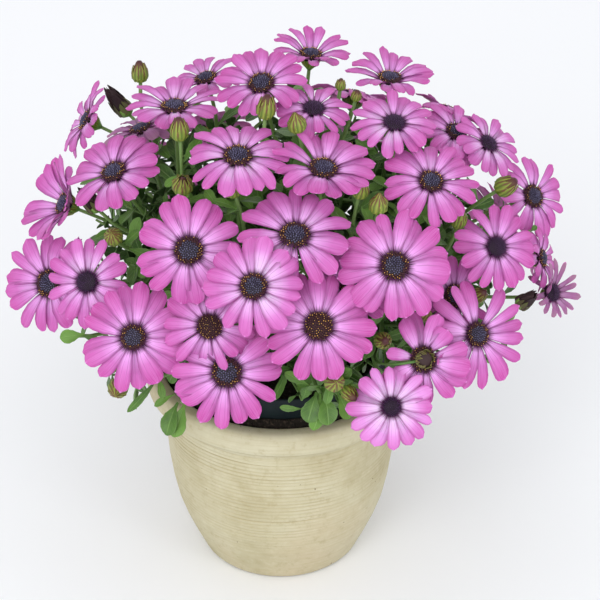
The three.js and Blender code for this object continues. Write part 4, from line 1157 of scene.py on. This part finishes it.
def leaf_surface(foot, along, face, length, seed, width=LEAF_WIDTH):
    side = face.cross(along).normalized()
    wide = length * width / 2
    fold = between(LEAF_FOLDS, draw(seed, 501))
    curve = between(LEAF_CURVES, draw(seed, 502)) * length
    lopsided = between(LOPSIDED, draw(seed, 503))

    def surface(x, y):
        half = wide * along_table(LEAF_OUTLINE, y + lopsided * x * (1 - y) * y)
        height = fold * abs(x) * half - LEAF_DROOP * length * y * y
        height += 0.05 * half * sin(9 * y + 4 * x + seed)
        return foot + along * (y * length) + side * (-x * half + curve * y * y) + face * height

    return surface


def has_leaf(shoot, foot, along, face, length):
    """Whether the solids hold this leaf: its tip and one tooth are corners of the node."""
    side = face.cross(along).normalized()
    tip = foot + along * length - face * (LEAF_DROOP * length)
    share, half = 0.5, length * LEAF_WIDTH / 2
    tooth = foot + along * (share * length) + side * half + face * (0.3 - LEAF_DROOP * length * share * share)
    return shoot.has_corner(tip) and shoot.has_corner(tooth)


def leaf_directions(tangent, turn, lean):
    along = (tangent * lean + around(*square_to(tangent), turn)).normalized()
    return along, square_part(tangent, along)


# %% Leaves that have their own places, and tries at leaves of the solids
LEAF_TRIES = 70
LEAF_LENGTH = (20, 30)
ON_STALKS = 0.72
STALK_LEAVES = (0.1, 0.7)
STEM_LEAVES = (0.28, 0.98)
# for each tuft: foot across and up, then its way across, up and toward, length, width share
HANGING = [
    [
        (-2, 0, -0.45, -0.85, 0.3, 21, 0.52), (2.5, 0, -0.32, -0.92, 0.25, 22, 0.52),
        (-4, 5, -0.9, -0.38, 0.1, 14, 0.32),
    ],
    [(0, 0, -0.62, -0.76, 0.1, 28, 0.18), (0, 1, 0.2, -0.9, 0.3, 14, 0.36)],
    [
        (-2, 0, -0.3, -0.92, 0.3, 19, 0.62), (2.5, 0, 0.22, -0.94, 0.3, 20, 0.62),
        (0, -1, 0, -0.97, 0.1, 22, 0.45), (-10, -10, -0.98, -0.06, 0.2, 14, 0.3),
        (-6, 4, -0.85, 0.4, 0.2, 17, 0.36), (3, 3, 0.5, 0.5, 0.5, 16, 0.5),
    ],
    [(0, 0, 0.5, -0.8, 0.3, 17, 0.55), (-1, 1, 0.9, 0.1, 0.3, 18, 0.45)],
    [(6, 1, -0.97, -0.12, 0.2, 15, 0.58), (4, 0, 0.8, -0.2, 0.1, 10, 0.4)],
    [(0, 0, -0.78, -0.62, 0.2, 10, 0.5), (0, 0, 0.75, 0.6, 0.2, 5, 0.7)],
]
# bud, share of its stalk, then the leaf's way across, up and toward, length, width share
ON_BUD_STALKS = [
    (0, 0.72, -0.85, 0.45, 0.2, 10, 0.5), (0, 0.66, 0.5, 0.8, 0.2, 9, 0.4),
    (7, 0.9, -0.95, -0.05, 0.3, 13, 0.42), (7, 0.88, 0.88, -0.4, 0.3, 11, 0.4),
    (6, 0.9, -0.6, 0.3, 0.5, 8, 0.45), (11, 0.86, 0.5, 0.6, 0.5, 15, 0.4),
    (11, 0.8, 0.85, -0.3, 0.3, 16, 0.42), (2, 0.8, -0.7, -0.5, 0.4, 13, 0.4),
    (14, 0.9, -0.5, -0.8, 0.3, 14, 0.45), (14, 0.88, 0.8, -0.5, 0.3, 13, 0.45),
]

# %% Put these leaves on
leaves = []
for number, tuft in enumerate(tufts):
    for right, above, *way, length, width in HANGING[number]:
        along = sight(*way).normalized()
        face = (TOWARD + ACROSS * between((-0.4, 0.4), draw(number + 7, length))).normalized()
        foot = tuft.stalk[3] + ACROSS * right + UPWARD * above
        leaves.append((tuft.shoot, foot, along, square_part(face, along), length, width))
for number, share, *way, length, width in ON_BUD_STALKS:
    along = sight(*way).normalized()
    face = square_part(TOWARD + UPWARD * 0.3, along)
    leaves.append((buds[number].shoot, bezier(buds[number].stalk, share), along, face, length, width))
for s, shoot in enumerate(shoots):
    for i in range(LEAF_TRIES):
        on_stalk = len(shoot.stalks) > 0 and draw(s, i) < ON_STALKS
        curve = shoot.stalks[int(draw(s + 20, i) * len(shoot.stalks))] if on_stalk else shoot.curve
        share = between(STALK_LEAVES if on_stalk else STEM_LEAVES, draw(s + 40, i))
        foot, tangent = on_run(curve, share, STALK_RUNS if on_stalk else SHOOT_RUNS)
        along, face = leaf_directions(tangent, draw(s + 60, i) * TURN, 0.6)
        length = between(LEAF_LENGTH, draw(s + 80, i))
        if has_leaf(shoot, foot, along, face, length):
            leaves.append((shoot, foot, along, face, length, LEAF_WIDTH))
print("leaves placed and leaves of the solids:", len(leaves))

# %% Where a new leaf may grow
DOME_LIMIT = 0.93
RIM_CLEAR = 92  # mm from the axis that a low leaf must keep off the pot
RIM_TOP = 158
FACE_CLEAR = 24  # mm in front of a bloom that leaves keep out of
LIMIT_LOW, LIMIT_HIGH = cad_box[0] / MM, cad_box[1] / MM
# gaps between the blooms that stay open: across, up and radius
GAPS = [(-127, 88, 13), (165, 83, 9), (43, -43, 9), (-114, -15, 8), (154, 27, 13)]


def spoils_bloom(place):
    """Whether a place is in the petals of a bloom or just in front of them."""
    for bloom in blooms:
        offset = place - bloom.centre
        if offset.length > bloom.radius + FACE_CLEAR:
            continue
        height = offset.dot(bloom.facing)
        out = (offset - bloom.facing * height).length
        if out < bloom.radius * 1.02 and -3.5 < height < FACE_CLEAR + out * tan(bloom.cup):
            return True
    return False


def in_gap(place):
    up = (place - MOUTH).dot(UPWARD)
    return any(hypot(place.x - middle, up - height) < radius for middle, height, radius in GAPS)


def leaf_fits(surface):
    for x, y in ((0, 0.5), (0, 1), (-1, 0.6), (1, 0.6)):
        place = surface(x, y)
        at_rim = place.z < RIM_TOP and hypot(place.x, place.y) < RIM_CLEAR
        beyond = over(place - DOME, DOME_RADII).length > DOME_LIMIT
        if at_rim or beyond or in_gap(place) or spoils_bloom(place):
            return False
        if any(place[axis] < LIMIT_LOW[axis] + 1 or place[axis] > LIMIT_HIGH[axis] - 1 for axis in range(3)):
            return False
    return True


def try_leaf(shoot, curve, share, turn, lean, length, seed, width):
    """A leaf on a twig or stalk, if it fits there."""
    foot = bezier(curve, share)
    along, face = leaf_directions(heading(curve, share), turn, lean)
    if leaf_fits(leaf_surface(foot, along, face, length, seed)):
        leaves.append((shoot, foot, along, face, length, width))


# %% Twigs that fill the dome, and small leaves on the stalks
TWIGS = 20  # tried on each shoot
TWIG_LEAVES = 11
TWIG_LEAF = (15, 26)
TWIG_REACH = (0.45, 0.9)  # shares of the dome's radii
TWIG_STARTS = (0.3, 0.98)  # shares of a shoot
TWIG_ASIDE = (-0.62, 0.62)  # shares of the way to the next shoot
TWIG_RISES, MIDDLE_RISES = (-0.3, 0.8), (0.35, 1)
SHORTEST_TWIG = 25
STALK_LEAVES_TRIED = 8  # on the stalk of each bloom and bud
STALK_SHARE = (0.2, 0.86)

twigs = []
for s, shoot in enumerate(shoots):
    for j in range(TWIGS):
        seed = s * 100 + j
        share = between(TWIG_STARTS, draw(seed, 601))
        start, run = bezier(shoot.curve, share), heading(shoot.curve, share)
        way = s + 0.5 + between(TWIG_ASIDE, draw(seed, 602))
        turn, rises = way / SHOOTS * TURN - pi / 2, TWIG_RISES
        if s == SHOOTS:
            turn, rises = TURN * draw(seed, 602), MIDDLE_RISES
        outward = on_ball(between(rises, draw(seed, 603)), turn)
        goal = DOME + times(outward, DOME_RADII) * between(TWIG_REACH, sqrt(draw(seed, 604)))
        reach = (goal - start).length
        if reach >= SHORTEST_TWIG and goal.z >= RIM_TOP and not in_gap(goal):
            inward = (outward + Vector((0, 0, 0.4))).normalized() * reach * 0.3
            twigs.append((shoot, [start, start + run * reach * 0.4, goal - inward, goal], seed))
for shoot, curve, seed in twigs:
    for i in range(TWIG_LEAVES):
        share = 0.28 + 0.72 * i / (TWIG_LEAVES - 1)
        length = between(TWIG_LEAF, draw(seed, 620 + i)) * (1 if share < 0.85 else 0.8)
        turn, lean = i * GOLDEN_ANGLE + seed, 0.35 + 0.5 * share
        try_leaf(shoot, curve, share, turn, lean, length, seed + i, LEAF_WIDTH)
for seed, thing in enumerate(blooms + buds):
    for i in range(STALK_LEAVES_TRIED):
        share = between(STALK_SHARE, i / (STALK_LEAVES_TRIED - 1))
        length = between(TWIG_LEAF, draw(seed + 300, 640 + i)) * 0.9
        turn = i * GOLDEN_ANGLE + seed
        try_leaf(thing.shoot, thing.stalk, share, turn, 0.6, length, seed + i, LEAF_WIDTH * 0.85)
print("twigs:", len(twigs), "leaves in all:", len(leaves))

# %% [markdown]
# ## Calyces, buds and closing blooms
# Under each disc sits a cup of narrow green bracts. A bud is the same cup still shut: a ribbed egg
# that darkens to its point under overlapping bracts. A closing bloom holds a twist of dark,
# shrunken petals in its cup.

# %% Stems, cups and bracts
STEM, LEAF, LEAF_UNDER, CALYX, BUD, BRACT, FURLED, WITHERED = range(8)
CUP_SIDES = 12
CALYX_BRACTS = 12


def stem(bm, handles, count, radii, sides, tones):
    """A stem along a curve, that thins from its first radius to its last."""
    shares = [i / count for i in range(count + 1)]
    path = [(bezier(handles, share), heading(handles, share)) for share in shares]
    loft(bm, path, [between(radii, share) for share in shares], sides, STEM, tones)


def cup(bm, centre, facing, profile, skin, tones, rib):
    """A ribbed round body from (height, radius) pairs along its axis."""
    path = [(centre + facing * height, facing) for height, radius in profile]
    loft(bm, path, [radius for height, radius in profile], CUP_SIDES, skin, tones, rib)


def bract(bm, foot, along, face, length, width, tone, skin):
    side = face.cross(along).normalized()

    def surface(x, y):
        half = width / 2 * along_table(BRACT_OUTLINE, y)
        height = -0.12 * length * y * y + 0.1 * x * x * half
        return foot + along * (y * length) - side * (x * half) + face * height

    bend_blank(bm, bract_blank, surface, 0.35, tone, (skin, skin))


def make_calyx(bm, bloom):
    disc, facing = bloom.core, bloom.facing
    neck = -DISC_HALF - CALYX_DEPTH
    profile = [
        (neck - 0.5, STALK_RADIUS), (neck + 1.2, disc * 0.38), (neck + 3.2, disc * 0.66),
        (neck + 5.6, disc * 0.78), (-DISC_HALF - 0.6, disc * 0.8),
    ]
    cup(bm, bloom.centre, facing, profile, CALYX, (0.1, 0.6), 0.08)
    for k in range(CALYX_BRACTS):
        outward = around(bloom.u, bloom.v, (k + 0.3 * draw(bloom.number, 700 + k)) / CALYX_BRACTS * TURN)
        foot = bloom.centre + outward * disc * 0.6 + facing * (neck + 3.4)
        along, face = (facing * 0.75 + outward * 0.5).normalized(), (outward - facing * 0.6).normalized()
        bract(bm, foot, along, face, disc * 0.95, disc * 0.32, draw(k, 3), BRACT)


# %% Buds
BUD_BRACTS = 7  # in each of two layers
BUD_SHAPE = [
    (-0.5, 0.3), (-0.43, 0.7), (-0.3, 0.95), (-0.12, 1), (0.08, 0.92), (0.26, 0.74), (0.4, 0.52), (0.5, 0.3),
]  # share of its length and of its radius
POINTED_BUDS = {3, 5, 8, 9, 11, 12, 13, 15, 17}
OPENING_BUDS = {3, 17}  # their bracts have parted and show dark petals


def make_bud(bm, bud):
    number, centre, facing, radius, length = bud.number, bud.centre, bud.facing, bud.radius, bud.length
    is_opening, is_pointed = number in OPENING_BUDS, number in POINTED_BUDS
    shape = [(share, width * (1 - max(0, share - 0.1) * 2.2 * is_pointed)) for share, width in BUD_SHAPE]
    profile = [(length * share, radius * 0.9 * width) for share, width in shape]
    cup(bm, centre, facing, profile, BUD, (0.75 if is_opening else 0, 1), 0.08)
    for k in range(2 * BUD_BRACTS):
        outward = around(*square_to(facing), (k + 0.5 * draw(number, 720 + k)) / BUD_BRACTS * pi)
        side = facing.cross(outward)
        low, top = -0.3, 0.3 + 0.14 * draw(number, 750 + k)
        if k % 2:
            low, top = -0.44, 0.02 + 0.24 * draw(number, 730 + k)
        top += 0.14 * is_pointed - 0.08 * is_opening
        flare = 0.28 if is_opening else 0.1 * draw(number, 740 + k)

        def surface(x, y):
            share = low + (top - low) * y
            out = radius * (along_table(shape, share) + 0.1 - 0.04 * y + flare * y * y * y)
            out -= 0.14 * radius * x * x
            half = radius * 0.36 * along_table(BRACT_OUTLINE, y)
            return centre + facing * (length * share) + outward * out + side * (x * half + 0.1 * radius * y)

        bend_blank(bm, bract_blank, surface, 0.3, draw(k, 2), (BRACT, BRACT))


# %% Closing and withered heads
CLOSING_SHAPE = [(-0.5, 0.3), (-0.44, 0.65), (-0.32, 0.9), (-0.2, 0.84)]
# count, turn, foot out and down, leans, lengths, width, tones, and the draws of the last four
CLOSING_RINGS = [
    (11, 0, 0.5, 0.3, (-0.1, 0.22), (0.6, 0.85), 0.9, (0.4, 1), 740, 760, 5),
    (10, 0.7, 0.82, 0.36, (-0.05, 0.12), (0.3, 0.55), 0.5, (0, 0.35), 780, 790, 6),
]
WITHERED_SHAPE = [(-3.2, 1.4), (-2.4, 3.8), (-0.8, 5.2), (0.6, 5), (1.3, 3.4)]
WITHERED_BRACTS = 18
WITHERED_STALK = [(-34, -5, -18), (-26, -4, 1), (-12, -2.5, 0), (-3.5, -0.8, -2.4)]
STEM_STEPS = 12


def make_closing(bm, bud):
    number, centre, facing, radius, length = bud.number, bud.centre, bud.facing, bud.radius, bud.length
    profile = [(length * share, radius * width) for share, width in CLOSING_SHAPE]
    cup(bm, centre, facing, profile, CALYX, (0.1, 0.7), 0.1)
    for count, turn, out, down, leans, lengths, width, tones, *seeds in CLOSING_RINGS:
        for k in range(count):
            outward = around(*square_to(facing), k * GOLDEN_ANGLE + turn)
            foot = centre + outward * radius * out - facing * length * down
            along = (facing + outward * between(leans, draw(number, seeds[0] + k))).normalized()
            long = length * between(lengths, draw(number, seeds[1] + k))
            bract(bm, foot, along, outward, long, radius * width, between(tones, draw(k, seeds[2])), FURLED)


def make_withered(bm, bloom):
    """A head whose petals have dropped, on a side stalk that leans over a bloom's disc."""
    centre = bloom.centre + bloom.facing * 6
    facing = (bloom.facing + ACROSS * 0.2).normalized()
    cup(bm, centre, facing, WITHERED_SHAPE, FURLED, (0.1, 0.6), 0.12)
    for k in range(WITHERED_BRACTS):
        outward = around(*square_to(facing), k * GOLDEN_ANGLE)
        along = (facing + outward * between((0.35, -0.25), draw(k, 770))).normalized()
        long = between((4, 6.2), draw(k, 771))
        bract(bm, centre + outward * 5.1 - facing * 2, along, outward, long, 1.9, draw(k, 772), WITHERED)
    way = [bezier(bloom.stalk, 0.55), *(centre + sight(*offset) for offset in WITHERED_STALK)]
    stem(bm, way, STEM_STEPS, (0.9, 0.9), 6, (0.1, 0.4))


# %% Make the shoots
SHOOT_RADIUS = 3
TWIG_STEPS = 6
LEAF_THICK = 0.45
LEANED_ON = 31  # the bloom that the withered head leans over
MAKERS = {"bloom": make_calyx, "bud": make_bud, "closing": make_closing}
shoot_skins = [
    stem_green, leaf_top, leaf_back, calyx_green, bud_green, bract_green, furled_dark, bract_withered,
]


def make_shoot(shoot):
    bm = new_piece()
    stem(bm, shoot.curve, STEM_STEPS, (SHOOT_RADIUS, SHOOT_RADIUS * 0.58), 8, (0, 0.5))
    for thing in blooms + buds:
        if thing.shoot is shoot:
            stem(bm, thing.stalk, STEM_STEPS, (STALK_RADIUS * 1.15, STALK_RADIUS * 0.9), 6, (0.4, 1))
            MAKERS[thing.kind](bm, thing)
            if thing is blooms[LEANED_ON - 1]:
                make_withered(bm, thing)
    for tuft in tufts:
        if tuft.shoot is shoot:
            stem(bm, tuft.stalk, STEM_STEPS, (STALK_RADIUS, STALK_RADIUS), 6, (0.4, 0.8))
    for owner, curve, _ in twigs:
        if owner is shoot:
            stem(bm, curve, TWIG_STEPS, (1.5, 0.8), 5, (0.3, 0.9))
    for index, (owner, foot, along, face, length, width) in enumerate(leaves):
        if owner is shoot:
            surface = leaf_surface(foot, along, face, length, index, width)
            bend_blank(bm, leaf_blank, surface, LEAF_THICK, draw(index, 800), (LEAF, LEAF_UNDER))
    finish_piece(bm, shoot.name.replace("stem", "shoot"), shoot_skins, shoot.name)


for shoot in shoots:
    make_shoot(shoot)
print("shoots made, triangles so far:", triangle_count)

# %% [markdown]
# ## Pots
# Both pots are turned shapes, so each is a profile spun round the axis. The stoneware pot is
# thrown by hand: below its plain collar a comb has left fine lines, which fade in places. They are
# pressed into the wall here point by point, deeper where a slow noise says so.

# %% Spin a profile
def spun(bm, profile, step_count):
    """A closed wall from (radius, height) pairs."""
    verts = [bmesh.ops.create_vert(bm, co=(radius, 0, height))["vert"][0] for radius, height in profile]
    edges = [
        bmesh.ops.contextual_create(bm, geom=[low, high])["edges"][0] for low, high in zip(verts, verts[1:])
    ]
    bmesh.ops.spin(bm, geom=verts + edges, axis=(0, 0, 1), angle=TURN, steps=step_count, use_merge=True)
    bmesh.ops.remove_doubles(bm, verts=bm.verts[:], dist=0.001)
    bmesh.ops.recalc_face_normals(bm, faces=bm.faces[:])
    for face in bm.faces:
        face.smooth = True


def fine_profile(corners, step):
    """The same outline with points at most a step apart."""
    points = []
    for low, high in zip(corners, corners[1:]):
        count = max(1, ceil((Vector(high) - Vector(low)).length / step))
        points += [tuple(Vector(low).lerp(Vector(high), i / count)) for i in range(count)]
    return [*points, tuple(Vector(corners[-1]))]


# %% Stoneware pot
POT_BODY = [
    (45, 0), (48.5, 0.8), (50.6, 3), (57, 17), (62, 29), (66, 41), (69, 55), (71.2, 70), (72.6, 86),
    (73.6, 103), (74.6, 114), (76.4, 118), (80.2, 119.6),
]
POT_COLLAR = [
    (82.6, 121), (84.3, 123.4), (84.9, 126.5), (84.9, 133), (84.4, 135.4), (83.2, 137.2), (81.4, 138),
    (76.4, 138),
]
POT_INSIDE = [(75.4, 137.7), (74.8, 137), (74.5, 135), (73.8, 112), (62, 46), (48, 10), (0, 10)]
POT_SIDES = 180
COMB_PITCH = 2.9
COMB_DEPTH = 0.5
COMB_SPAN = (20, 116)  # heights that the comb reached
COMB_STRONG = (-0.35, -0.94)  # the side where it was pressed hardest
DEEP_LINES = (120.4, 117.2)  # the two lines that part the collar from the wall
DEEP_LINE_HALF = 1.2


def comb_depth(place):
    """How deep the comb and the two deep lines go at a place on the wall."""
    deep = max(0, 1 - min(abs(place.z - line) for line in DEEP_LINES) / DEEP_LINE_HALF)
    deep *= min(1, max(0.5, 0.9 + 0.8 * noise.noise(place * 0.02 + Vector((0, 5, 0)))))
    if not COMB_SPAN[0] < place.z < COMB_SPAN[1]:
        return deep
    slow = noise.noise(place * 0.03 + Vector((3, 1, 0)))
    faced = (place.x * COMB_STRONG[0] + place.y * COMB_STRONG[1]) / hypot(place.x, place.y)
    strength = min(1, max(0.08, 0.45 + 0.35 * faced + 0.9 * slow))
    strength += 1.3 * max(0, -place.x / 80) * max(0, (place.z - 88) / 24)
    fade = min(1, (place.z - COMB_SPAN[0]) / 40) * min(1, (COMB_SPAN[1] - place.z) / 3)
    drift = noise.noise(place * 0.02 + Vector((7, 0, 0))) * 1.4
    drift += noise.noise(Vector((0, 0, place.z * 0.16))) * 1.1
    line = (place.z + drift) / COMB_PITCH
    uneven = between((0.35, 1), draw(round(line), 9))
    return deep + COMB_DEPTH * fade * strength * uneven * max(0, cos(TURN * line)) ** 2


bm = new_piece()
spun(bm, [(0, 0), *fine_profile(POT_BODY, 0.5), *POT_COLLAR, *POT_INSIDE], POT_SIDES)
tone = bm.verts.layers.float["tone"]
wall = [(height, radius) for radius, height in POT_BODY + POT_COLLAR[:2]]
for vert in bm.verts:
    out = hypot(vert.co.x, vert.co.y)
    if vert.co.z <= wall[-1][0] and out >= along_table(wall, vert.co.z) - 0.6:
        inward = comb_depth(vert.co)
        # the tone is the line's depth, which the stoneware darkens as painted shade
        vert[tone] = min(1.5, inward / COMB_DEPTH)
        vert.co.x *= 1 - inward / out
        vert.co.y *= 1 - inward / out
print("points of the stoneware pot:", len(bm.verts))
finish_piece(bm, "stoneware_pot", [stoneware], "pot")

# %% Nursery pot
NURSERY_PROFILE = [
    (0, 10.3), (44, 10.3), (64, 138), (64.4, 138.8), (67, 139), (67.5, 140), (68, 153), (67.6, 154),
    (66.4, 154), (66, 153.4), (65.4, 141), (62.6, 139.6), (62.2, 137), (42.6, 12.3), (0, 12.3),
]
ROUND_SIDES = 96

bm = new_piece()
spun(bm, NURSERY_PROFILE, ROUND_SIDES)
print("points of the nursery pot:", len(bm.verts))
finish_piece(bm, "nursery_pot_shell", [black_plastic], "nursery_pot")

# %% [markdown]
# ## Compost
# Compost is a rough surface with loose crumbs on it. The surface is a spun profile that noise lifts
# and sinks, and the crumbs are small lumps, each squashed and turned by its own draws.

# %% Compost and crumbs
ANY_WAY = 6.28  # radians
LUMPINESS = 0.35  # how far a crumb's points are pushed, as a share of its size
NOISE_SEED = 7  # without a seed, noise_vector differs on each run
noise.seed_set(NOISE_SEED)


def roughen(bm, top, lift):
    for vert in bm.verts:
        if vert.co.z > top:
            vert.co.z += lift * noise.noise(vert.co * 0.25) + lift * 0.6 * noise.noise(vert.co * 0.7)


def crumb(bm, place, size, seed):
    turn = Matrix.Rotation(draw(seed, 3) * ANY_WAY, 4, "Z") @ Matrix.Rotation(draw(seed, 4) * ANY_WAY, 4, "X")
    deep, tall = between((0.5, 0.9), draw(seed, 5)), between((0.4, 0.8), draw(seed, 6))
    seat = Matrix.Translation(place) @ turn @ Matrix.Diagonal((size, size * deep, size * tall, 1))
    for vert in bmesh.ops.create_icosphere(bm, subdivisions=1, radius=1, matrix=seat)["verts"]:
        vert.co += noise.noise_vector(vert.co * 0.9) * size * LUMPINESS


def scatter(bm, count, first_draw, first_seed, reach, height, sizes):
    """Crumbs all round, where reach gives a draw's distance out and height what lies there."""
    for k in range(count):
        out, turn = reach(draw(k, first_draw)), TURN * draw(k, first_draw + 1)
        place = Vector((out * cos(turn), out * sin(turn), height(out)))
        crumb(bm, place, between(sizes, draw(k, first_draw + 2) ** 2), k + first_seed)


# %% Compost in the nursery pot
COMPOST_SIDE = [(42.2, 12.6), (61.2, 142)]
COMPOST_TOP = [(61.2, 142), (52, 144.6), (30, 145.6), (0, 146.4)]
COMPOST_SIDES = 64
COMPOST_CRUMBS = 420
CRUMBS_OUT = 59  # mm from the axis that they reach
mound = lambda out: 145.6 - out * 0.045

bm = new_piece()
side = fine_profile(COMPOST_SIDE, 60)[:-1]
spun(bm, [(0, COMPOST_SIDE[0][1]), *side, *fine_profile(COMPOST_TOP, 3)], COMPOST_SIDES)
roughen(bm, 141, 1.6)
scatter(bm, COMPOST_CRUMBS, 901, 0, lambda share: CRUMBS_OUT * sqrt(share), mound, (0.7, 2))
print("crumbs on the compost:", COMPOST_CRUMBS)
finish_piece(bm, "compost_in_pot", [compost_dark], "compost")

# %% Compost between the pots
PACKING_PROFILE = [
    (53.4, 60), (62.3, 60), (72.2, 112), (73.7, 131), (72.6, 134), (70.4, 137.4), (68.3, 139.6), (66, 138.4),
    (63.9, 134), (53.4, 60),
]
BAND = (68.6, 73.6)  # where the crumbs lie between the pots
PACKING_CRUMBS = 640
slope = lambda out: 139.4 - (out - BAND[0]) * 1.2

bm = new_piece()
spun(bm, fine_profile(PACKING_PROFILE, 3), ROUND_SIDES)
roughen(bm, 130, 0.9)
scatter(bm, PACKING_CRUMBS, 911, 3000, lambda share: between(BAND, share), slope, (0.5, 1.5))
finish_piece(bm, "compost_round_pot", [compost_dark], "packing_compost")
print("triangles in all:", triangle_count)

# %% Print the sizes and finish
print("cad box", [round(v, 4) for corner in cad_box for v in corner])
